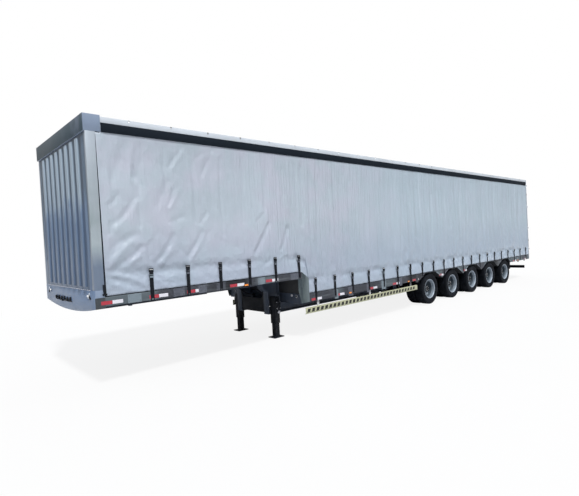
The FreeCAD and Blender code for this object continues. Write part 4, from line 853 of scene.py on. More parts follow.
# ------------------------------------------------------------------ curtains
# creases in the left curtain: width in metres, depth (negative where it stands out), and x and z of each
# point of its line
CREASE_TABLE = (
    (
        0.05, 1.0, 8.01, 2.32, 7.87, 2.39, 7.76, 2.5, 7.68, 2.62, 7.59, 2.78, 7.55, 2.89, 7.59, 3.02, 7.62,
        3.13,
    ),
    (0.045, -0.5, 7.92, 2.31, 7.79, 2.4, 7.68, 2.53, 7.59, 2.64),
    (0.035, 0.8, 8.02, 2.6, 7.95, 2.66, 7.88, 2.74),
    (0.07, 0.8, 7.95, 2.98, 7.88, 3.08, 7.83, 3.24, 7.8, 3.39, 7.69, 3.53),
    (0.05, -0.5, 8.01, 3.36, 8.01, 3.02, 8.02, 2.67),
    (0.05, -0.6, 7.63, 3.45, 7.65, 3.21, 7.68, 2.97),
    (0.04, 0.8, 7.57, 3.45, 7.6, 3.22, 7.63, 3.0),
    (0.045, 0.8, 7.48, 3.46, 7.49, 3.31, 7.53, 3.15, 7.58, 3.03),
    (0.03, 0.7, 7.13, 3.5, 7.15, 3.22, 7.13, 3.0, 7.12, 2.69, 7.11, 2.35),
    (0.04, 1.0, 7.05, 3.2, 7.0, 3.3, 6.92, 3.4, 6.83, 3.52),
    (0.035, -0.6, 6.98, 3.21, 6.89, 3.35, 6.78, 3.49),
    (0.05, 0.7, 7.1, 2.97, 7.18, 2.83, 7.29, 2.61),
    (0.025, 0.9, 7.09, 2.61, 7.05, 2.74, 7.01, 2.86),
    (0.03, -0.7, 7.08, 2.57, 6.98, 2.72, 6.9, 2.87),
    (0.03, 0.7, 7.57, 2.72, 7.57, 2.53, 7.57, 2.3),
    (0.035, 0.8, 6.68, 3.53, 6.65, 3.18, 6.64, 2.78, 6.64, 2.35),
    (0.035, -0.4, 6.63, 3.5, 6.6, 3.1, 6.59, 2.7),
    (0.03, 0.7, 6.55, 3.4, 6.43, 3.48, 6.27, 3.54),
    (0.035, 0.9, 6.49, 3.11, 6.41, 3.26, 6.34, 3.4, 6.27, 3.52),
    (0.03, -0.5, 6.26, 3.49, 6.19, 3.38, 6.19, 3.05, 6.22, 2.63),
    (0.03, 0.6, 6.12, 3.42, 6.13, 3.05, 6.14, 2.54, 6.13, 2.12),
    (0.03, 1.0, 6.56, 2.33, 6.5, 2.41, 6.44, 2.49),
    (0.04, 0.6, 7.04, 2.37, 6.95, 2.41, 6.86, 2.43),
    (0.045, 1.2, 7.36, 1.74, 7.26, 1.84, 7.16, 1.97, 7.05, 2.14),
    (0.03, -0.8, 7.31, 1.72, 7.21, 1.81, 7.1, 1.92),
    (0.04, 0.5, 7.47, 1.99, 7.38, 2.09, 7.31, 2.19),
    (0.035, 1.0, 6.82, 1.8, 6.72, 1.93, 6.62, 2.06, 6.54, 2.18),
    (0.025, -1.0, 6.77, 1.74, 6.69, 1.85, 6.61, 1.96),
    (0.04, 0.6, 6.55, 1.92, 6.47, 2.05, 6.42, 2.18),
    (0.06, 1.1, 8.12, 1.88, 8.01, 1.99, 7.89, 2.08, 7.77, 2.13, 7.65, 2.17),
    (0.045, -1.1, 8.12, 1.72, 8.02, 1.81, 7.92, 1.9, 7.81, 1.99, 7.72, 2.07),
    (0.045, 1.1, 8.08, 1.66, 7.94, 1.72, 7.81, 1.81, 7.67, 1.91, 7.57, 1.99),
    (0.03, -0.7, 7.75, 1.76, 7.68, 1.81, 7.61, 1.86),
    (0.035, -0.6, 8.08, 2.12, 7.99, 2.2, 7.91, 2.26),
    (0.03, 0.7, 8.11, 2.17, 8.05, 2.2, 7.99, 2.21),
    (0.055, 0.6, 8.14, 1.68, 7.94, 1.67, 7.72, 1.65, 7.51, 1.62),
    (0.04, -1.3, 8.11, 1.63, 7.92, 1.6, 7.72, 1.54, 7.55, 1.43),
    (0.035, 1.2, 8.1, 1.59, 7.95, 1.53, 7.79, 1.46, 7.55, 1.36),
    (0.035, -0.9, 8.07, 1.5, 7.93, 1.45, 7.76, 1.38),
    (0.055, 0.5, 7.38, 1.62, 7.19, 1.64, 6.85, 1.64),
    (0.03, -0.8, 7.39, 1.49, 7.31, 1.44, 7.24, 1.37),
    (0.05, -0.6, 7.26, 1.48, 7.1, 1.51, 6.87, 1.53),
    (0.03, 0.7, 7.36, 1.53, 7.23, 1.44, 7.07, 1.41),
    (0.06, 0.5, 6.72, 1.61, 6.54, 1.63, 6.32, 1.68),
    (0.05, 0.7, 5.64, 3.43, 5.68, 2.9, 5.7, 2.34),
    (0.05, 0.9, 5.11, 3.51, 5.15, 3.01, 5.18, 2.59),
    (0.04, -0.4, 5.02, 3.48, 5.02, 3.11, 5.08, 2.64),
    (0.04, -0.3, 5.56, 1.75, 5.43, 1.94, 5.3, 2.13, 5.14, 2.4),
    (0.045, 1.5, 5.47, 1.78, 5.34, 1.95, 5.21, 2.15, 5.13, 2.29),
    (0.025, 0.7, 5.41, 2.33, 5.33, 2.4, 5.23, 2.48),
    (0.035, -0.2, 4.92, 1.82, 4.83, 1.98, 4.76, 2.17, 4.64, 2.36),
    (0.04, 1.3, 4.84, 1.81, 4.75, 1.98, 4.66, 2.21),
    (0.02, -1.0, 5.19, 1.48, 5.11, 1.55, 5.03, 1.6),
    (0.022, -1.0, 4.93, 1.59, 4.85, 1.66, 4.72, 1.71),
    (0.045, -0.4, 6.05, 1.49, 5.84, 1.5, 5.62, 1.54),
    (0.03, -0.4, 5.53, 1.53, 5.41, 1.57, 5.24, 1.65),
    (0.03, 0.6, 5.49, 1.47, 5.3, 1.53, 5.1, 1.66),
    (0.03, 0.9, 4.73, 3.35, 4.72, 3.09, 4.71, 2.84),
    (0.03, -0.5, 4.63, 3.32, 4.63, 2.94, 4.63, 2.52),
    (0.03, 0.9, 4.38, 3.44, 4.38, 3.05, 4.38, 2.65),
    (0.035, 1.0, 4.25, 3.39, 4.22, 2.95, 4.25, 2.26),
    (0.03, -0.6, 4.11, 3.36, 4.12, 2.76, 4.15, 2.46),
    (0.035, 1.0, 3.99, 3.41, 4.01, 2.76, 4.04, 2.05),
    (0.03, -0.6, 3.91, 3.37, 3.92, 2.76, 3.96, 1.95),
    (0.035, 0.9, 3.78, 3.49, 3.8, 2.77, 3.85, 1.74),
    (0.04, -0.9, 3.35, 3.45, 3.36, 2.99, 3.32, 2.24, 3.32, 1.82),
    (0.035, 0.7, 3.26, 3.42, 3.26, 2.99, 3.22, 2.24),
    (0.035, 0.5, 3.04, 3.26, 3.06, 2.67),
    (0.045, -0.7, 2.87, 3.27, 2.9, 2.57, 2.89, 1.79),
    (0.045, 0.6, 2.74, 3.23, 2.76, 2.57, 2.79, 1.79),
    (0.05, -0.9, 3.9, 1.13, 3.73, 1.02, 3.52, 0.96),
    (0.05, 0.5, 2.19, 2.46, 2.22, 1.99),
    (0.1, 0.8, 0.16, 3.58, 0.19, 2.72, 0.22, 1.93),
    (0.06, -0.5, -0.18, 3.61, -0.17, 2.85),
    (0.05, 0.9, -0.81, 3.01, -0.82, 2.45, -0.76, 1.84),
    (0.05, -0.9, 0.65, 1.86, 0.53, 1.68, 0.4, 1.49),
    (0.05, -1.1, 0.03, 1.84, -0.1, 1.6, -0.18, 1.35),
    (0.05, 0.6, -0.34, 1.99, -0.38, 1.77),
    (0.05, -0.9, -1.09, 1.8, -1.01, 1.55, -0.93, 1.36),
    (0.06, -0.9, -2.29, 1.69, -2.2, 1.46, -2.05, 1.23),
    (0.08, 1.0, -1.85, 2.33, -1.89, 2.15),
    (0.06, 0.8, -2.61, 3.58, -2.64, 3.22),
    (0.07, -0.6, -5.39, 3.46, -5.32, 2.8, -5.37, 2.45),
    (0.07, 0.9, -5.45, 2.41, -5.75, 1.91, -6.14, 1.36),
    (0.07, -0.7, -5.8, 2.41, -6.12, 1.97, -6.53, 1.41),
    (0.08, 0.8, -7.24, 2.41, -7.49, 1.87, -7.73, 1.24),
    (0.06, 0.5, -3.0, 2.76, -2.92, 1.98),
)
CREASES = [(width, depth, list(zip(line[::2], line[1::2]))) for width, depth, *line in CREASE_TABLE]
CREASE_ROOMS = [
    (
        min(x for x, z in line) - 3 * width,
        max(x for x, z in line) + 3 * width,
        min(z for x, z in line) - 3 * width,
        max(z for x, z in line) + 3 * width,
    )
    for width, depth, line in CREASES
]


def away(x, z, line):
    """Distance from a point to a line of points."""
    nearest = 9.0
    for (x0, z0), (x1, z1) in zip(line, line[1:]):
        run, rise = x1 - x0, z1 - z0
        share = max(0.0, min(1.0, ((x - x0) * run + (z - z0) * rise) / (run * run + rise * rise)))
        nearest = min(nearest, math.hypot(x - x0 - share * run, z - z0 - share * rise))
    return nearest


def creased(x, z):
    """Sum of the creases at a place, inwards."""
    total = 0.0
    for (width, depth, line), (low_x, high_x, low_z, high_z) in zip(CREASES, CREASE_ROOMS):
        if low_x < x < high_x and low_z < z < high_z:
            total += depth * math.exp(-((away(x, z, line) / width) ** 2))
    return total


def ridge(value, sharp):
    """Turn noise into a crease: 1 on the line where it crosses nought, falling off to each side."""
    return math.exp(-abs(value) * sharp)


def fold(x, z, foot, seed):
    """How far the curtain is pulled in at a place, in units of the wrinkle size."""
    rear = 1.0 - min(1.0, max(0.0, (x - 3.2) / 3.0))
    low = min(1.0, max(0.0, (2.6 - z) / 1.2))
    billow = 0.45 * noise.noise((x * 0.5 + seed, z * 0.7, seed))
    sway = x + 0.10 * noise.noise((x * 0.9, z * 0.9, seed + 5.0))
    pleat = noise.noise((sway * 3.4 + seed, z * 0.16, 3.0)) + 0.6 * noise.noise((sway * 8.3, z * 0.22, seed))
    slant_x, slant_z = x * 0.72 + z * 0.69, z * 0.72 - x * 0.69
    crease = ridge(noise.noise((slant_x * 0.55 + seed, slant_z * 2.3, 7.0)), 9.0)
    rumple = noise.noise((x * 4.1, z * 4.1, seed + 1.0)) * noise.noise((x * 0.9, z * 1.1, seed + 8.0))
    groove = math.exp(-(((z - foot - 0.27) / 0.075) ** 2)) * (0.45 + 0.5 * noise.noise((x * 1.3, seed, 2.0)))
    depth = 0.50 + billow + pleat * (0.05 + 0.20 * rear) + 0.8 * rumple * low
    return depth + crease * 0.22 * (0.25 + 0.75 * low) + groove


def pull(x, z, foot):
    """Fans of small folds that run up from the strap buckles."""
    total = 0.0
    rise = z - (foot + 0.26)
    if rise < -0.04:
        return total
    for number, station in enumerate(STRAP_STATIONS):
        beside = x - station
        if abs(beside) > 0.75:
            continue
        lean = 0.25 * math.sin(number * 2.4)
        angle = math.atan2(beside - lean * rise, rise + 0.10)
        rays = math.exp(-(math.sin(angle * (3.5 + 0.9 * math.sin(number * 5.1)) + number) ** 2) * 9.0)
        reach = 0.40 + 0.35 * math.sin(number * 1.7) ** 2
        total += rays * math.exp(-abs(beside) / 0.34) * math.exp(-rise / reach)
    return total


def curtain_foot(x):
    """Height of the curtain's lower edge at a station."""
    upper = UPPER_DECK + 0.012
    front, rear = STEP_PANEL_HIGH.x, STEP_PANEL_LOW.x
    if x >= front:
        return upper
    return upper - (front - x) / (front - rear) * 0.14 if x >= rear + 0.02 else CURTAIN_LOW.z


class TRAILER_OT_curtains(bpy.types.Operator):
    """Hang the two side curtains with their creases and pulled folds"""

    bl_idname = "trailer.curtains"
    bl_label = "Curtains"

    def sheet(self, name, seed, shift, columns, rows):
        """A grid that follows the step, pulled in by the folds, hemmed and given its thickness."""
        deselect()
        bpy.ops.mesh.primitive_grid_add(x_subdivisions=columns, y_subdivisions=rows, size=1)
        piece = settle(name, "curtain")
        length = CURTAIN_HIGH.x - CURTAIN_LOW.x
        outer = CURTAIN_HIGH.y - 0.0006
        depth = sizes().wrinkle
        top_front, top = HEADER_LOW.z - 0.012, RAIL_LOW.z - 0.012
        for vertex in piece.data.vertices:
            along = vertex.co.x + 0.5
            x = CURTAIN_LOW.x + (1.5 * along - 0.5 * along * along) * length
            share = vertex.co.y + 0.5
            foot = curtain_foot(x)
            high = top_front if x > HEADER_LOW.x else top
            z = foot + share * (high - foot)
            held = min(1.0, (1.0 - share) * 5.0) * min(1.0, max(0.0, (HEADER_LOW.x + 0.08 - x) * 6.0))
            held *= min(1.0, (x - CURTAIN_LOW.x) * 8.0)
            hem = min(1.0, 0.25 + share * 9.0)
            pulled = (0.45 if x < 1.0 else 0.25) * pull(x, z, foot)
            deep = fold(x, z, foot, seed) + pulled + 0.38 * creased(x + shift, z)
            inward = depth * max(0.0, min(1.6, deep)) * held * hem
            drawn = max(0.0, 1.0 - (CURTAIN_HIGH.x - x) * 2.5)
            x -= drawn * 0.022 * (1.0 - share) ** 0.6
            vertex.co = (x, outer - inward, z)
        return finished(smooth(piece, 60), "SOLIDIFY", thickness=0.0011, offset=0.0)

    def execute(self, context):
        left = self.sheet("curtain_left_sheet", 11.0, 0.0, 520, 92)
        facing_out(left)
        right = self.sheet("curtain_right_sheet", 47.0, 0.85, 430, 78)
        right.data.transform(Matrix.Scale(-1, 4, (0, 1, 0)))
        right.data.flip_normals()
        facing_out(right)
        for piece, node in ((left, "curtain_left"), (right, "curtain_right")):
            mount(piece, "trailer", "curtain_fabric", node)
        return {"FINISHED"}


class TRAILER_OT_straps(bpy.types.Operator):
    """Strap the curtains down: webbing, over-centre buckles, hooks and the sewn patches above them"""

    bl_idname = "trailer.straps"
    bl_label = "Straps"

    def one(self, low, high):
        """One strap in place on the left side."""
        middle = (low.x + high.x) / 2
        half = sizes().strap_width / 2
        top = high.z - 0.012
        parts = Parts()

        def block(name, half, near, far, foot, head, finish, bevel):
            parts.box(
                name, (middle - half, SIDE + near, foot), (middle + half, SIDE + far, head), finish, bevel
            )

        def rod(name, half, out, z, radius, finish, sides):
            y = SIDE + out
            parts.tube(name, (middle - half, y, z), (middle + half, y, z), radius, finish, sides)

        block("web", half, 0, 0.0026, low.z, high.z, "webbing", 0.0006)
        block("patch", half * 1.25, 0, 0.0032, high.z - 0.055, high.z, "webbing", 0.0008)
        block("plate", 0.031, 0.003, 0.008, top - 0.115, top - 0.004, "plastic", 0.002)
        block("lever", 0.028, 0.009, 0.0195, top - 0.070, top - 0.008, "plastic", 0.004)
        block("jaw", 0.028, 0.005, 0.016, top - 0.128, top - 0.098, "pale", 0.003)
        rod("pin", 0.030, 0.012, top - 0.080, 0.0045, "pale", 10)
        rod("bar", 0.028, 0.011, top - 0.006, 0.0035, "steel", 8)
        block("hook", 0.016, 0.002, 0.005, low.z + 0.001, low.z + 0.026, "zinc", 0.001)
        return joined("strap", parts)

    def execute(self, context):
        both_sides("straps", [self.one(low, high) for low, high in STRAPS], "webbing", "curtain_straps")
        return {"FINISHED"}


# ------------------------------------------------------------------ wheels
SPACING = 0.140
TYRE_PROFILE = (
    (0.0, 0.42), (0.01, 0.42), (0.014, 0.408), (0.022, 0.408), (0.026, 0.4198), (0.05, 0.4194),
    (0.054, 0.4075), (0.062, 0.4075), (0.066, 0.4188), (0.088, 0.4178), (0.104, 0.4155),
    (0.112, 0.4085), (0.117, 0.396), (0.1185, 0.393), (0.1225, 0.37), (0.1238, 0.348), (0.1222, 0.344),
    (0.1215, 0.326), (0.12, 0.323), (0.1175, 0.306), (0.1125, 0.292), (0.1105, 0.289), (0.106, 0.269),
    (0.098, 0.268), (0.096, 0.25), (0.062, 0.249), (0.111, 0.34), (0.096, 0.397), (0.0, 0.4),
)
BARREL_PROFILE = (
    (0.247, 0.26), (0.2465, 0.265), (0.242, 0.2655), (0.2375, 0.26), (0.2355, 0.25), (0.232, 0.2476),
    (0.198, 0.247), (0.19, 0.243), (0.178, 0.222), (0.1, 0.22), (0.088, 0.244), (0.08, 0.247),
    (0.045, 0.2476), (0.041, 0.25), (0.039, 0.26), (0.035, 0.2655), (0.032, 0.26), (0.034, 0.244),
    (0.042, 0.238), (0.078, 0.236), (0.096, 0.212), (0.18, 0.212), (0.198, 0.237), (0.23, 0.24),
    (0.24, 0.245),
)
DISC_PROFILE = (
    (0.0, 0.132), (0.0, 0.2), (0.004, 0.206), (0.02, 0.214), (0.052, 0.229), (0.064, 0.233),
    (0.08, 0.233), (0.066, 0.226), (0.03, 0.206), (0.016, 0.196), (0.012, 0.188), (0.012, 0.132),
)
HUB_PROFILE = (
    (0.0, 0.13), (0.042, 0.129), (0.056, 0.122), (0.062, 0.108), (0.064, 0.096), (0.124, 0.086),
    (0.132, 0.082), (0.134, 0.078), (0.154, 0.0765), (0.162, 0.07), (0.166, 0.05), (0.167, 0.001),
    (0.15, 0.001), (0.0, 0.001),
)
STUDS, STUD_RING = 10, 0.1675
HUB_BOLTS, HUB_BOLT_RING = 8, 0.064
HAND_HOLES, HAND_HOLE_RING, HAND_HOLE = 10, 0.2085, 0.0165
# the notched band of a tyre: distances from its middle plane, least radius, and one step in three
SHOULDER_IN, SHOULDER_OUT, SHOULDER_RADIUS = 0.089, 0.114, 0.405
NOTCH_EVERY = 3


def ring(count, radius):
    """Evenly spaced (x, z) places on a circle."""
    turns = [TAU * number / count for number in range(count)]
    return [(math.cos(turn) * radius, math.sin(turn) * radius) for turn in turns]


class TRAILER_OT_wheels(bpy.types.Operator):
    """Fit the twin tyres, dished rims, studs and hubs"""

    bl_idname = "trailer.wheels"
    bl_label = "Wheels"

    def tyre(self):
        """A ribbed tyre about the origin, with notched shoulders."""
        profile = list(TYRE_PROFILE) + [(-y, radius) for y, radius in reversed(TYRE_PROFILE[1:-1])]
        steps = sizes().tyre_steps
        piece = lathe("tyre", profile, "rubber", steps)
        with edited(piece):
            bpy.ops.mesh.select_mode(type="FACE")
            bpy.ops.mesh.select_all(action="DESELECT")
        for polygon in piece.data.polygons:
            middle = polygon.center
            radius = math.hypot(middle.x, middle.z)
            turn = int((math.atan2(middle.z, middle.x) / TAU % 1.0) * steps)
            shoulder = SHOULDER_IN < abs(middle.y) < SHOULDER_OUT and radius > SHOULDER_RADIUS
            polygon.select = shoulder and (turn + (1 if middle.y > 0 else 0)) % NOTCH_EVERY == 0
        bpy.ops.object.mode_set(mode="EDIT")
        depth = sizes().tread_depth * 0.7
        bpy.ops.mesh.extrude_region_shrink_fatten(TRANSFORM_OT_shrink_fatten={"value": -depth})
        bpy.ops.mesh.select_mode(type="VERT")
        bpy.ops.object.mode_set(mode="OBJECT")
        return smooth(piece, 32)

    def rim(self):
        """One rim with its disc at the origin plane, dish towards +Y."""
        barrel = lathe("barrel", BARREL_PROFILE, "rim", 72)
        disc = lathe("disc", DISC_PROFILE, "rim", 80)
        cutters = Parts()
        for number in range(HAND_HOLES):
            turn = TAU * (number + 0.5) / HAND_HOLES
            place = Vector((math.cos(turn), 0, math.sin(turn))) * HAND_HOLE_RING
            lean = Vector((-math.cos(turn) * 0.55, 1, -math.sin(turn) * 0.55)).normalized() * 0.05
            middle = place + Vector((0, 0.016, 0))
            cutters.tube("cutter", middle - lean, middle + lean, HAND_HOLE, "rim", 14)
        cutter = joined("cutters", cutters)
        finished(disc, "BOOLEAN", operation="DIFFERENCE", solver="EXACT", object=cutter)
        removed(cutter)
        with edited(disc):
            bpy.ops.mesh.remove_doubles(threshold=0.0003)
            bpy.ops.mesh.dissolve_degenerate(threshold=0.0002)
        return joined("rim", [smooth(barrel, 40), smooth(disc, 40)])

    def stud(self):
        """A wheel nut with its collar and stud end, about the Y axis."""
        parts = Parts()
        parts.tube("collar", (0, 0.012, 0), (0, 0.018, 0), 0.0225, "steel", 16, 0.0015)
        parts.tube("nut", (0, 0.018, 0), (0, 0.042, 0), 0.0185, "steel", 6, 0.002)
        parts.tube("end", (0, 0.042, 0), (0, 0.054, 0), 0.0105, "steel", 12, 0.0015)
        return joined("stud", parts)

    def execute(self, context):
        tyre, rim, stud = self.tyre(), self.rim(), self.stud()
        tyres = joined("tyres", [shifted(tyre, 0, SPACING, 0), shifted(tyre, 0, -SPACING, 0)])
        inner = moved(rim, Matrix.Rotation(math.pi, 4, "Z"))
        studs = [shifted(stud, x, 0, z) for x, z in ring(STUDS, STUD_RING)]
        hub = smooth(lathe("hub", HUB_PROFILE, "black", 48), 40)
        bolts = Parts()
        for x, z in ring(HUB_BOLTS, HUB_BOLT_RING):
            bolts.tube("bolt", (x, 0.158, z), (x, 0.168, z), 0.007, "steel", 6)
        rims = joined("rims", [rim, inner, hub] + studs + bolts)
        for body in WHEELS:
            centre = JOINTS[body]["pos_m"]
            mirror = Matrix.Scale(1 if centre[1] > 0 else -1, 4, (0, 1, 0))
            matrix = Matrix.Translation(centre) @ mirror @ Matrix.Rotation(centre[0] * 2.1, 4, "Y")
            mount(moved(tyres, matrix, body + "_tyre_pair"), body, "tyre_rubber", body + "_tyres")
            mount(moved(rims, matrix, body + "_rim_pair"), body, "rim_silver", body + "_rims")
        removed(tyres, rims, tyre, stud)
        return {"FINISHED"}


# ------------------------------------------------------------------ raves, tapes and lamps
# thickness of a tape and the rounding of its edge, and thickness of a lap plate
TAPE = 0.0008
TAPE_EDGE = 0.0003
LAP = 0.0012
TAPE_STATIONS = (0.10, 0.79, 1.41, 2.23, 3.02, 4.18, 4.90, 6.10, 7.05, 7.95, 14.85, 15.9)
# pale sections of the raves: front end and length
LAP_PLATES = (
    (7.83, 0.2), (7.12, 0.19), (6.68, 0.15), (6.34, 0.18), (5.47, 0.17), (4.66, 0.24), (3.42, 0.12),
    (2.96, 0.16), (2.3, 0.1), (1.72, 0.18), (0.96, 0.12), (0.2, 0.13), (-6.95, 0.16), (-7.6, 0.12),
)
TIP_TAPES = (-1.05, -2.53)
# one side of a wheel arch, from the flat top down to the rave's lower edge: run from the axle and height
ARCH_EDGE = ((0.332, 0.8425), (0.555, 0.7230))
ARCH_STRIP = 0.032


def on_rave(station):
    """The x of a distance behind the front face and the lower and upper edges of the rave there."""
    x = FRONT - station
    return (x, UPPER_RAVE_LOW, UPPER_DECK) if x > STEP else (x, RAVE_LOW, LOWER_DECK)


class TRAILER_OT_raves(bpy.types.Operator):
    """Dress the side raves with markings, lap plates with rivets and pale strips round the wheel arches"""

    bl_idname = "trailer.raves"
    bl_label = "Raves"

    def execute(self, context):
        tapes = Parts()
        plates = Parts()
        length, height = sizes().tape_length, sizes().tape_height

        def tape_box(colour, x0, x1, z0, z1):
            tapes.box(colour, (x0, SIDE, z0), (x1, SIDE + TAPE, z1), "tape_" + colour, TAPE_EDGE)

        for station in TAPE_STATIONS:
            x, low, high = on_rave(station)
            middle = low + (high - low) * 0.38
            foot, head = middle - height / 2, middle + height / 2
            red = x - length * 0.5
            tape_box("red", red, x, foot, head)
            tape_box("white", x - length, red - 0.002, foot, head)
        for x in TIP_TAPES:
            tape_box("red", x - 0.13, x, RAVE_LOW + 0.06, RAVE_LOW + 0.11)
            tape_box("white", x - 0.24, x - 0.132, RAVE_LOW + 0.05, RAVE_LOW + 0.10)
        for body in WHEELS[::2]:
            axle = JOINTS[body]["pos_m"][0]
            for way in (-1, 1):
                edge = [(axle + way * run, z) for run, z in ARCH_EDGE][::way]
                outline = edge + [(x, z + ARCH_STRIP) for x, z in reversed(edge)]
                plates.append(plate("edge", outline, SIDE, SIDE + LAP, "pale", 0))
        for x, width in LAP_PLATES:
            low, high = on_rave(FRONT - x)[1:]
            plates.box("lap", (x - width, SIDE, low + 0.002), (x, SIDE + LAP, high - 0.002), "pale", 0.0006)
            for offset in (0.02, width - 0.02):
                for z in (low + 0.025, high - 0.025):
                    start, end = (x - offset, SIDE + 0.001, z), (x - offset, SIDE + 0.004, z)
                    plates.tube("rivet", start, end, 0.006, "zinc", 8, 0.001)
        both_sides("tapes", tapes, "lamp_lens")
        both_sides("lap_plates", plates, "galvanised")
        return {"FINISHED"}


class TRAILER_OT_lamps(bpy.types.Operator):
    """Fit marker and tail lamps with bases and ribbed lenses"""

    bl_idname = "trailer.lamps"
    bl_label = "Lamps"

    def lamp(self, low, high):
        """A lamp in the space of one block: a base and a rounded lens, or at the rear a housing with three
        ringed lenses.
        """
        size = high - low
        front = low.x > FRONT - 0.2
        rear = high.x < FRAME_LOW.x + 0.01
        finish = "white" if front else "red" if rear else "amber"
        axis = 0 if front or rear else 1
        way = (-1 if rear else 1) if axis == 0 else (1 if low.y > 0 else -1)
        wall = low[axis] if way > 0 else high[axis]
        deep = size[axis]
        base_low, base_high = low.copy(), high.copy()
        base_low[axis], base_high[axis] = sorted((wall, wall + way * deep * 0.4))
        if rear:
            parts = Parts()
            parts.box("housing", low, high, "plastic", 0.004)
            middle = (low + high) / 2
            for offset, tone in ((-0.13, "white"), (0.0, "amber"), (0.13, "red")):
                y = middle.y + offset * (1 if low.y > 0 else -1)
                x, z = low.x, middle.z
                parts.tube("ring", (x + 0.004, y, z), (x - 0.006, y, z), 0.054, "steel", 32, 0.003)
                parts.tube("lens", (x - 0.002, y, z), (x - 0.013, y, z), 0.048, tone, 32, 0.0045)
            return parts
        base = box("base", base_low, base_high, "plastic", 0.0015)
        lens_low, lens_high = low.copy(), high.copy()
        for other in range(3):
            if other != axis:
                lens_low[other] += size[other] * 0.07
                lens_high[other] -= size[other] * 0.07
        lens_low[axis], lens_high[axis] = sorted((wall + way * deep * 0.35, wall + way * deep))
        return [base, box("lens", lens_low, lens_high, finish, deep * 0.3)]

    def execute(self, context):
        parts = Parts()
        for low, high in islands("lamps"):
            parts += self.lamp(low, high)
        mount(joined("lamp_set", parts), "trailer", "lamp_lens", "lamps")
        return {"FINISHED"}


# ------------------------------------------------------------------ side guards
GUARD_RAIL = 0.120
SQUARE_PITCH = 0.130
# half width, half height and half slant of a square
SQUARE = (0.040, 0.036, 0.014)


class TRAILER_OT_guards(bpy.types.Operator):
    """Mark the side guard rails with their row of dark squares"""

    bl_idname = "trailer.guards"
    bl_label = "Side guards"

    def execute(self, context):
        squares = []
        low, high = GUARD_LOW.z, GUARD_LOW.z + GUARD_RAIL
        middle = (low + high) / 2
        half, tall, lean = SQUARE
        for number in range(int((GUARD_HIGH.x - GUARD_LOW.x - 0.1) / SQUARE_PITCH)):
            x = GUARD_HIGH.x - 0.09 - number * SQUARE_PITCH
            outline = [(x - half + lean, middle - tall), (x + half + lean, middle - tall)]
            outline += [(x + half - lean, middle + tall), (x - half - lean, middle + tall)]
            squares.append(plate("square", outline, SIDE - 0.0005, SIDE + TAPE, "mark", TAPE_EDGE))
        both_sides("guard_squares", squares, "guard_plastic")
        return {"FINISHED"}


# ------------------------------------------------------------------ front
SEAM_BEADS = 26
# rail clips on a side: how many, x of the first and the distance between two
CLIPS, FIRST_CLIP, CLIP_PITCH = 24, 7.66, 0.66
# bolt heads beside the apron's corner lamps: y, z, radius and finish
CORNER_BOLTS = (
    (1.035, 1.372, 0.020, "rail"),
    (0.985, 1.325, 0.017, "rail"),
    (1.06, 1.318, 0.022, "black"),
    (1.02, 1.335, 0.013, "black"),
)


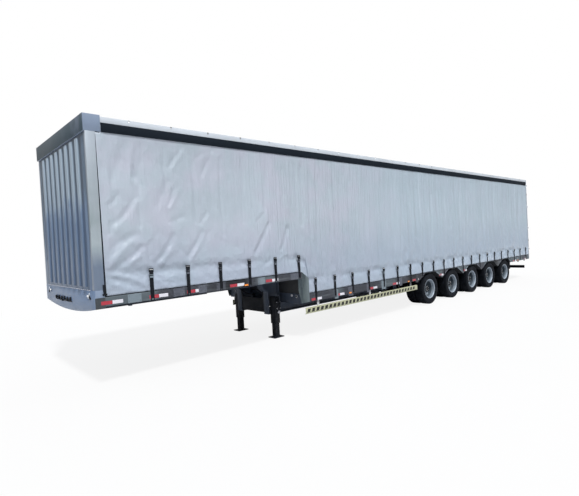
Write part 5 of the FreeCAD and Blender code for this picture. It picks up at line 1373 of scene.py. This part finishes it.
class TRAILER_OT_front(bpy.types.Operator):
    """Dress the front: the apron's seam, rail clips, latches and coupling heads"""

    bl_idname = "trailer.front"
    bl_label = "Front"

    def execute(self, context):
        parts = Parts()
        seam = APRON_HIGH.z
        face = APRON_HIGH.x
        pitch = (2 * SIDE - 0.30) / SEAM_BEADS
        for number in range(SEAM_BEADS):
            y = -SIDE + 0.15 + number * pitch
            low, high = (face - 0.001, y, seam - 0.005), (face + 0.003, y + pitch * 0.62, seam + 0.004)
            parts.box("bead", low, high, "tape_white", 0.0015)
        mount(joined("apron_seam", parts), "trailer", "frame_paint")
        clips = Parts()
        z = RAIL_HIGH.z - 0.024
        foot, head = RAIL_HIGH.z - 0.012, RAIL_HIGH.z - 0.002
        inner = SIDE - 0.002
        for number in range(CLIPS):
            x = FIRST_CLIP - number * CLIP_PITCH
            clips.tube("clip", (x, inner, z), (x, SIDE + 0.004, z), 0.011, "steel", 14, 0.002)
            clips.box("tab", (x - 0.014, inner, foot), (x + 0.014, SIDE + 0.003, head), "zinc", 0.001)
        both_sides("rail_clips", clips, "galvanised")
        latches = Parts()
        for side in (-1, 1):
            near, far = sorted((side * (SIDE - 0.004), side * (SIDE + 0.012)))
            x = POST_LOW.x
            latches.box("latch", (x - 0.012, near, 1.375), (x + 0.022, far, 1.50), "plastic", 0.003)
            latches.box("catch", (x - 0.030, near, 1.352), (x + 0.034, far, 1.378), "plastic", 0.003)
        mount(joined("post_latches", latches), "trailer", "black_steel")
        self.couplings()
        self.corners()
        return {"FINISHED"}

    def couplings(self):
        """Coupling heads, each turned its own way, with a backing plate and bent pipes."""
        face = APRON_HIGH.x
        parts = Parts()
        parts.box("backing", (face, -0.68, 1.205), (face + 0.004, 0.215, 1.225), "black", 0.0015)
        sockets = islands("front_couplings")
        for number, (low, high) in enumerate(sockets):
            y, z = ((low + high) / 2).yz
            radius = (high.y - low.y) / 2
            parts.tube("body", (face, y, z), (face + 0.016, y, z), radius, "black", 24, 0.003)
            parts.tube(
                "face", (face + 0.012, y, z), (face + 0.0235, y, z), radius * 0.62, "plastic", 20, 0.003
            )
            turn = 0.9 * math.sin(number * 2.7) + 0.6
            tip = (face + 0.016, y + math.cos(turn) * radius * 2.2, z + math.sin(turn) * radius * 0.7)
            parts.pipe("lever", ((face + 0.012, y, z), tip), 0.008, "black")
        for number in range(len(sockets) - 1):
            start, end = sockets[number][0], sockets[number + 1][0]
            drop = 0.016 * (number % 3)
            points = (
                (face + 0.011, start.y + 0.02, start.z + 0.02),
                (face + 0.014, start.y + 0.04, start.z - drop),
                (face + 0.014, end.y, end.z - drop * 0.7),
                (face + 0.011, end.y + 0.03, end.z + 0.02),
            )
            parts.pipe("pipe", points, 0.0085, "plastic")
        mount(joined("coupling_heads", parts), "trailer", "black_steel", "front_couplings")

    def corners(self):
        """Bolt heads beside the apron's corner lamps, and a row of rivets low on the header."""
        parts = Parts()
        face = APRON_HIGH.x
        for side in (-1, 1):
            for y, z, radius, finish in CORNER_BOLTS:
                start, end = (face - 0.001, side * y, z), (face + 0.010, side * y, z)
                parts.tube("boss", start, end, radius, finish, 18, 0.003)
        face, z = HEADER_HIGH.x, HEADER_LOW.z + 0.022
        for number in range(12):
            y = -SIDE + 0.10 + number * (2 * SIDE - 0.2) / 11
            parts.tube("rivet", (face - 0.001, y, z), (face - 0.0002, y, z), 0.008, "panel", 12)
        mount(joined("front_fittings", parts), "trailer", "frame_paint")


# ------------------------------------------------------------------ rear end
DOOR_LOW, DOOR_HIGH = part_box("door_left")
DOOR_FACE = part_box("door_left_rods")[1].x
DOOR_EDGE = SIDE - 0.052
ROD_PLACES = (DOOR_EDGE - 0.330, DOOR_EDGE - 0.750)
HINGE_HEIGHTS = (1.110, 1.937, 2.763, 3.590)
DOOR_JOINTS = (1.62, 2.35, 3.08)
TAPE_PAIR = ("tape_white", "tape_red")


class TRAILER_OT_rear(bpy.types.Operator):
    """Dress the doors, the rear frame and the bumper"""

    bl_idname = "trailer.rear"
    bl_label = "Rear end"

    def door(self):
        """Trim, hinge straps, lock gear, seals and markings of the left door."""
        face, low, high = DOOR_FACE, DOOR_LOW.z, DOOR_HIGH.z
        parts = Parts()

        def trim(name, y0, y1, z0, z1, near, far, finish, bevel):
            """A block on the door's face, from one height above it to another."""
            parts.box(name, (face - far, y0, z0), (face - near, y1, z1), finish, bevel)

        trim_end = DOOR_EDGE - 0.056
        trim("stile", 0.006, 0.052, low + 0.001, high - 0.001, 0, 0.003, "post", 0.001)
        trim("stile", trim_end, DOOR_EDGE - 0.001, low + 0.001, high - 0.001, 0, 0.003, "post", 0.001)
        trim("rail", 0.052, trim_end, low + 0.001, low + 0.058, 0, 0.003, "post", 0.001)
        trim("rail", 0.052, trim_end, high - 0.058, high - 0.001, 0, 0.003, "post", 0.001)
        for z in DOOR_JOINTS:
            trim("joint", 0.052, trim_end, z - 0.010, z + 0.010, 0, 0.0012, "post", 0.0005)
        seal = (face + 0.0305, DOOR_EDGE - 0.036, low), (face + 0.0375, DOOR_EDGE - 0.006, high)
        parts.box("side_seal", *seal, "plastic", 0.002)
        parts.box("meeting_seal", (face + 0.004, 0.0008, low), (face + 0.026, 0.006, high), "plastic", 0.002)
        for z in HINGE_HEIGHTS:
            trim("strap", DOOR_EDGE - 0.19, DOOR_EDGE, z - 0.026, z + 0.026, 0, 0.006, "steel", 0.002)
            for y in (DOOR_EDGE - 0.165, DOOR_EDGE - 0.115, DOOR_EDGE - 0.065):
                parts.tube("bolt", (face - 0.005, y, z), (face - 0.012, y, z), 0.009, "steel", 6, 0.001)
        for number, y in enumerate(ROD_PLACES):
            for z in (low + 0.016, high - 0.016):
                trim("cam", y - 0.034, y + 0.034, z - 0.013, z + 0.013, 0, 0.024, "steel", 0.003)
            z = 1.30 + 0.12 * number
            trim("hub", y - 0.026, y + 0.026, z - 0.034, z + 0.034, 0.001, 0.0266, "steel", 0.004)
            trim("lever", y - 0.30, y - 0.02, z - 0.013, z + 0.013, 0.016, 0.024, "steel", 0.003)
            trim("keeper", y - 0.285, y - 0.235, z - 0.040, z - 0.012, 0, 0.022, "steel", 0.003)
            trim("hasp", y - 0.272, y - 0.248, z - 0.020, z + 0.026, 0.014, 0.026, "black", 0.002)
        for number in range(6):
            y = 0.10 + number * 0.16
            trim("tape", y, y + 0.158, 1.005, 1.055, 0, TAPE, TAPE_PAIR[number % 2], TAPE_EDGE)
        trim("outline", 0.92, 1.135, 3.695, 3.745, 0, TAPE, "tape_white", TAPE_EDGE)
        trim("outline", 1.085, 1.135, 3.625, 3.694, 0, TAPE, "tape_white", TAPE_EDGE)
        return parts

    def plate(self):
        """A blank plate on its carrier, on the left door."""
        face = DOOR_FACE
        parts = Parts()
        parts.box("carrier", (face - 0.004, 0.145, 1.115), (face, 0.495, 1.245), "plastic", 0.002)
        parts.box("blank", (face - 0.0055, 0.155, 1.124), (face - 0.003, 0.485, 1.236), "tape_white", 0.001)
        for y in (0.20, 0.44):
            parts.tube("screw", (face - 0.005, y, 1.18), (face - 0.0075, y, 1.18), 0.005, "steel", 10, 0.001)
        mount(joined("blank_plate", parts), "door_left", "lamp_lens")

    def execute(self, context):
        both_sides("door_gear", self.door(), "galvanised", bodies=("door_left", "door_right"))
        self.plate()
        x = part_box("rear_bumper")[0].x
        parts = Parts()
        for number in range(10):
            y = -1.0 + number * 0.2
            low, high = (x - TAPE, y + 0.001, 0.375), (x, y + 0.199, 0.430)
            parts.box("tape", low, high, TAPE_PAIR[number % 2], TAPE_EDGE)
        mount(joined("bumper_tape", parts), "trailer", "lamp_lens")
        stops = Parts()
        for z in (1.45, 3.25):
            low = (FRAME_LOW.x + 0.004, SIDE - 0.004, z - 0.03)
            high = (FRAME_LOW.x + 0.044, SIDE + 0.004, z + 0.03)
            stops.box("buffer", low, high, "plastic", 0.003)
        both_sides("door_buffers", stops, "guard_plastic")
        return {"FINISHED"}


# ------------------------------------------------------------------ underside and roof
AXLES = [JOINTS[name]["pos_m"][0] for name in WHEELS if name.endswith("left")]
# y of a main beam's middle
BEAM = 0.460
AIR_LINE = 0.007
# the air lines behind the couplings: x and z
AIR_ROUTE = (
    (6.2, 1.205), (4.95, 1.19), (4.66, 0.88), (4.35, 0.758), (3.0, 0.757), (-2.0, 0.757), (-6.2, 0.757)
)
# on the step's face: y, z, radius, depth and finish
STEP_KNOBS = (
    (0.93, 0.85, 0.024, 0.018, "tape_white"),
    (1.06, 0.84, 0.030, 0.012, "steel"),
    (1.06, 0.84, 0.021, 0.016, "plastic"),
)


class TRAILER_OT_underside(bpy.types.Operator):
    """Fit the running gear's small parts, the air lines and the landing legs' gearbox"""

    bl_idname = "trailer.underside"
    bl_label = "Underside"

    def axle(self, x):
        """Spring clamps and a brake chamber for the left end of one axle."""
        parts = Parts()
        for along in (-0.058, 0.058):
            for across in (-0.048, 0.048):
                y = BEAM + across
                parts.tube("u_bolt", (x + along, y, 0.338), (x + along, y, 0.588), 0.009, "black", 8)
                parts.tube("nut", (x + along, y, 0.330), (x + along, y, 0.346), 0.016, "steel", 6, 0.001)
        for z0, z1 in ((0.567, 0.579), (0.345, 0.356)):
            parts.box("plate", (x - 0.080, BEAM - 0.060, z0), (x + 0.080, BEAM + 0.060, z1), "black", 0.003)
        y, z = 0.290, 0.415
        parts.tube("chamber", (x + 0.115, y, z), (x + 0.195, y, z), 0.078, "black", 28, 0.014)
        parts.tube("band", (x + 0.190, y, z), (x + 0.202, y, z), 0.086, "steel", 28, 0.003)
        parts.tube("spring_chamber", (x + 0.197, y, z), (x + 0.305, y, z), 0.076, "black", 28, 0.020)
        parts.tube("rod", (x + 0.02, y, z), (x + 0.12, y, z), 0.009, "steel", 10)
        parts.box(
            "bracket", (x + 0.05, y - 0.07, z - 0.012), (x + 0.118, y + 0.07, z + 0.012), "black", 0.003
        )
        route = (
            (x + 0.25, y, z + 0.07), (x + 0.26, y, 0.60), (x + 0.22, 0.31, 0.72), (x + 0.05, 0.33, 0.752)
        )
        parts.pipe("line", route, AIR_LINE, "plastic")
        return parts

    def execute(self, context):
        parts = Parts()
        for x in AXLES:
            parts += self.axle(x)
        both_sides("axle_fittings", parts, "black_steel")
        lines = Parts()
        for y in (0.29, 0.315, 0.34):
            route = [(7.6, y * 0.3, 1.205)] + [(x, y, z) for x, z in AIR_ROUTE]
            lines.pipe("air_line", route, AIR_LINE, "plastic")
        both_sides("air_lines", lines, "guard_plastic")
        self.legs()
        self.sills()
        return {"FINISHED"}

    def legs(self):
        """The gearbox on the left leg, and knobs and bolts on both."""
        low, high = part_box("landing_legs")
        outer = high.y - 0.030
        x = (low.x + high.x) / 2
        knobs = Parts()
        pin = x - 0.035
        knobs.tube("pin", (pin, outer, 0.515), (pin, outer + 0.022, 0.515), 0.032, "tape_white", 20, 0.005)
        knobs.box("gear_case", (x - 0.058, outer, 0.585), (x + 0.058, outer + 0.045, 0.745), "black", 0.010)
        knobs.tube(
            "gear_cap", (x, outer + 0.040, 0.640), (x, outer + 0.058, 0.640), 0.036, "black", 24, 0.006
        )
        for along in (-0.045, 0.045):
            for z in (0.600, 0.730):
                start, end = (x + along, outer + 0.043, z), (x + along, outer + 0.052, z)
                knobs.tube("bolt", start, end, 0.008, "steel", 6, 0.001)
        both_sides("leg_fittings", knobs, "black_steel")

    def sills(self):
        """Dark closing plates below the step, over the floor's edge."""
        face = STEP + 0.0005
        parts = Parts()
        for y0, y1 in ((0.537, 1.236), (-0.384, 0.384), (-1.236, -0.537)):
            parts.box(
                "sill", (face, y0, RAVE_LOW + 0.02), (face + 0.004, y1, LOWER_DECK + 0.01), "chassis", 0.001
            )
        face += 0.003
        for y, z, radius, depth, finish in STEP_KNOBS:
            for side in (-1, 1):
                start, end = (face, side * y, z), (face + depth, side * y, z)
                parts.tube("knob", start, end, radius, finish, 20, 0.003)
        mount(joined("step_sills", parts), "trailer", "chassis_paint")


# distance between two seams or bows of the roof
SEAM_PITCH = 1.24


class TRAILER_OT_roof(bpy.types.Operator):
    """Lay the roof's cross seams and its bows inside"""

    bl_idname = "trailer.roof"
    bl_label = "Roof"

    def strip(self, x, half, low, high, finish):
        """A strip across the roof that follows its camber."""
        edge, rise = SIDE - 0.066, 0.014
        across = [edge * (number / 8.0 - 1.0) for number in range(17)]
        crown = [(y, RAIL_HIGH.z + rise * (1.0 - (y / edge) ** 2)) for y in across]
        outline = [(y, z + high) for y, z in crown] + [(y, z + low) for y, z in reversed(crown)]
        piece = plate("strip", outline, -half, half, finish, 0)
        turn = Matrix(((0, -1, 0), (1, 0, 0), (0, 0, 1))).to_4x4()
        piece.data.transform(Matrix.Translation((x, 0, 0)) @ turn)
        return piece

    def execute(self, context):
        seams, bows = [], []
        for number in range(13):
            x = FRAME_HIGH.x + 0.6 + number * SEAM_PITCH
            seams.append(self.strip(x, 0.016, -0.001, 0.0022, "rail"))
            seams.append(self.strip(x + 0.045, 0.004, -0.001, 0.0012, "rail"))
        mount(joined("roof_seams", seams), "trailer", "white_rail")
        for number in range(12):
            x = FRAME_HIGH.x + 1.22 + number * SEAM_PITCH
            bows.append(self.strip(x, 0.022, -0.034, -0.0045, "steel"))
        mount(joined("roof_bows", bows), "trailer", "galvanised")
        return {"FINISHED"}


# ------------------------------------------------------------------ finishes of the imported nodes
# node: (finish, slot, edge rounding)
DRESSED = {
    "main_beams": ("chassis", "chassis_paint", 0.003),
    "step_bulkhead": ("black", "chassis_paint", 0.002),
    "coupling_plate": ("chassis", "chassis_paint", 0.002),
    "step_panels": ("step", "galvanised", 0.003),
    "side_raves": ("zinc", "galvanised", 0.003),
    "front_wall": ("wall", "frame_paint", 0.006),
    "front_apron": ("front", "frame_paint", 0.004),
    "corner_posts": ("post", "silver_paint", 0.008),
    "front_header": ("front", "frame_paint", 0.006),
    "cant_rails": ("rail", "white_rail", 0.0025),
    "pelmets": ("pelmet", "pelmet_black", 0.001),
    "rear_frame": ("panel", "frame_paint", 0.003),
    "rear_bumper": ("black", "black_steel", 0.0035),
    "mudguards": ("plastic", "guard_plastic", 0.0012),
    "landing_legs": ("black", "black_steel", 0.006),
    "side_guards": ("guard", "guard_paint", 0.0015),
    "spring_hangers": ("chassis", "chassis_paint", 0.002),
    "leaf_springs": ("black", "black_steel", 0.003),
}
# node: finish
PAINTED = {
    "cross_bearers": "chassis",
    "upper_deck": "boards",
    "lower_deck": "boards",
    "roof": "rail",
    # painted shade: the side pillars are black so that the gap at the curtain's front edge stays dark
    "side_pillars": "black",
    "door_hinges": "steel",
    "axles": "black",
    "landing_drive": "black",
    "air_tanks": "black",
    "front_couplings": "black",
    "door_left": "panel",
    "door_right": "panel",
    "door_left_rods": "steel",
    "door_right_rods": "steel",
}


class TRAILER_OT_finishes(bpy.types.Operator):
    """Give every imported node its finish, and round the edges of the plain ones"""

    bl_idname = "trailer.finishes"
    bl_label = "Finishes"

    def execute(self, context):
        for node, (finish, slot, width) in DRESSED.items():
            softened(node, finish, slot, width)
        guard = bpy.data.objects["side_guards_dressed"]
        guard.data.materials.append(finishes()["steel"])
        for face in guard.data.polygons:
            bare = abs(face.center.y) < SIDE - 0.0295 or face.center.z > GUARD_LOW.z + GUARD_RAIL + 0.001
            face.material_index = int(bare)
        for node in frame["nodes"]:
            coated(frame["nodes"][node], PAINTED.get(node, "black"))
        return {"FINISHED"}


# ------------------------------------------------------------------ stage
CAMERA_PLACE = (10.2442, 7.320, 1.986)
CAMERA_YAW = math.radians(-132.666)
CAMERA_PITCH = math.radians(-1.137)
CAMERA_ROLL = math.radians(-3.109)
CAMERA_LENS = 26.665
FLOOR_RADIUS = 90
WHITE = (1.0, 1.0, 1.0)
SKY = (0.90, 0.95, 1.0)


class TRAILER_OT_stage(bpy.types.Operator):
    """Set out the floor, the lights, the world and the camera"""

    bl_idname = "trailer.stage"
    bl_label = "Stage"

    def camera(self):
        forward = Vector(
            (
                math.cos(CAMERA_YAW) * math.cos(CAMERA_PITCH),
                math.sin(CAMERA_YAW) * math.cos(CAMERA_PITCH),
                math.sin(CAMERA_PITCH),
            )
        )
        right = forward.cross(Vector((0, 0, 1))).normalized()
        up = right.cross(forward)
        across = right * math.cos(CAMERA_ROLL) + up * math.sin(CAMERA_ROLL)
        above = up * math.cos(CAMERA_ROLL) - right * math.sin(CAMERA_ROLL)
        data = bpy.data.cameras.new("camera")
        data.lens = CAMERA_LENS
        data.sensor_width = 36.0
        data.clip_end = 500.0
        turn = Matrix((across, above, -forward)).transposed().to_4x4()
        camera = linked("camera", data)
        camera.matrix_world = Matrix.Translation(CAMERA_PLACE) @ turn
        bpy.context.scene.camera = camera

    def lamp(self, name, kind, aim, power, place=(0, 0, 0), **settings):
        """A lamp at a place, shining along aim."""
        data = bpy.data.lights.new(name, kind)
        data.energy = power
        for key, item in settings.items():
            setattr(data, key, item)
        turn = Vector(aim).to_track_quat("-Z", "Y").to_matrix().to_4x4()
        linked(name, data).matrix_world = Matrix.Translation(place) @ turn

    def floor(self):
        deselect()
        bpy.ops.mesh.primitive_circle_add(vertices=96, radius=FLOOR_RADIUS, fill_type="NGON")
        piece = settle("floor")
        finish = Finish("pale floor")
        grain = finish.noise(0.35, 3.0)
        finish.set(Base_Color=finish.mix(grain, (0.50, 0.50, 0.51), (0.56, 0.56, 0.57)), Roughness=0.9)
        tree = finish.tree
        across, along = finish.axis("X") * (1 / 13.0), finish.axis("Y") * (1 / 6.0)
        away = (across * across + along * along).ramp(0.6, 3.0)
        seen = finish.node("ShaderNodeLightPath", out="Is Camera Ray")
        blend = tree.nodes.new("ShaderNodeMixShader")
        connect(tree, seen * (0.86 + 0.14 * away), blend.inputs[0])
        tree.links.new(finish.shader.outputs[0], blend.inputs[1])
        connect(tree, finish.node("ShaderNodeEmission", Color=WHITE), blend.inputs[2])
        tree.links.new(blend.outputs[0], tree.nodes["Material Output"].inputs["Surface"])
        piece.data.materials.append(finish.material)

    def world(self):
        """White where it is seen or mirrored, and a soft cool sky as a light."""
        world = bpy.data.worlds.new("sky")
        bpy.context.scene.world = world
        world.use_nodes = True
        tree = world.node_tree
        back = tree.nodes["Background"]
        path = tree.nodes.new("ShaderNodeLightPath")
        seen = Value(tree, path.outputs["Is Camera Ray"]) + Value(tree, path.outputs["Is Transmission Ray"])
        seen = seen.maths("MINIMUM", 1.0)
        mirrored = Value(tree, path.outputs["Is Glossy Ray"])
        shown = (seen + mirrored).maths("MINIMUM", 1.0)
        connect(tree, blended(tree, shown, SKY, WHITE), back.inputs["Color"])
        place = tree.nodes.new("ShaderNodeTexCoord")
        split = tree.nodes.new("ShaderNodeSeparateXYZ")
        tree.links.new(place.outputs["Generated"], split.inputs[0])
        sky = Value(tree, split.outputs["Z"]).ramp(-0.1, 0.7) * 0.62 + 0.14
        connect(tree, seen + (1.0 - seen) * sky, back.inputs["Strength"])

    def execute(self, context):
        context.scene.view_settings.view_transform = "Standard"
        self.camera()
        self.floor()
        self.world()
        self.lamp("sun", "SUN", (-0.15, -0.46, -0.87), 4.0, angle=0.12, color=(1.0, 0.99, 0.97))
        place = (-14.0, -16.0, 12.0)
        aim = Vector((0, 0, 1.5)) - Vector(place)
        self.lamp("back", "AREA", aim, 1000, place, shape="DISK", size=12)
        return {"FINISHED"}


# ------------------------------------------------------------------ panel and registration
OPERATORS = (
    TRAILER_OT_stage,
    TRAILER_OT_finishes,
    TRAILER_OT_curtains,
    TRAILER_OT_straps,
    TRAILER_OT_wheels,
    TRAILER_OT_raves,
    TRAILER_OT_lamps,
    TRAILER_OT_guards,
    TRAILER_OT_front,
    TRAILER_OT_rear,
    TRAILER_OT_underside,
    TRAILER_OT_roof,
)


class TRAILER_PT_panel(bpy.types.Panel):
    """The trailer's pieces, sizes and colours"""

    bl_idname = "TRAILER_PT_panel"
    bl_label = "Trailer"
    bl_space_type = "VIEW_3D"
    bl_region_type = "UI"
    bl_category = "Trailer"

    def draw(self, context):
        for operator in OPERATORS:
            self.layout.operator(operator.bl_idname)
        for group in (sizes(), colours()):
            for name in group.bl_rna.properties.keys():
                if name not in ("rna_type", "name"):
                    self.layout.prop(group, name)


CLASSES = (TrailerSizes, TrailerColours, TRAILER_PT_panel) + OPERATORS


def register():
    for item in CLASSES:
        bpy.utils.register_class(item)
    bpy.types.Scene.trailer_sizes = PointerProperty(type=TrailerSizes)
    bpy.types.Scene.trailer_colours = PointerProperty(type=TrailerColours)


def unregister():
    del bpy.types.Scene.trailer_colours
    del bpy.types.Scene.trailer_sizes
    for item in reversed(CLASSES):
        bpy.utils.unregister_class(item)


def main():
    register()
    for operator in OPERATORS:
        group, name = operator.bl_idname.split(".")
        getattr(getattr(bpy.ops, group), name)()


if __name__ == "__main__":
    main()
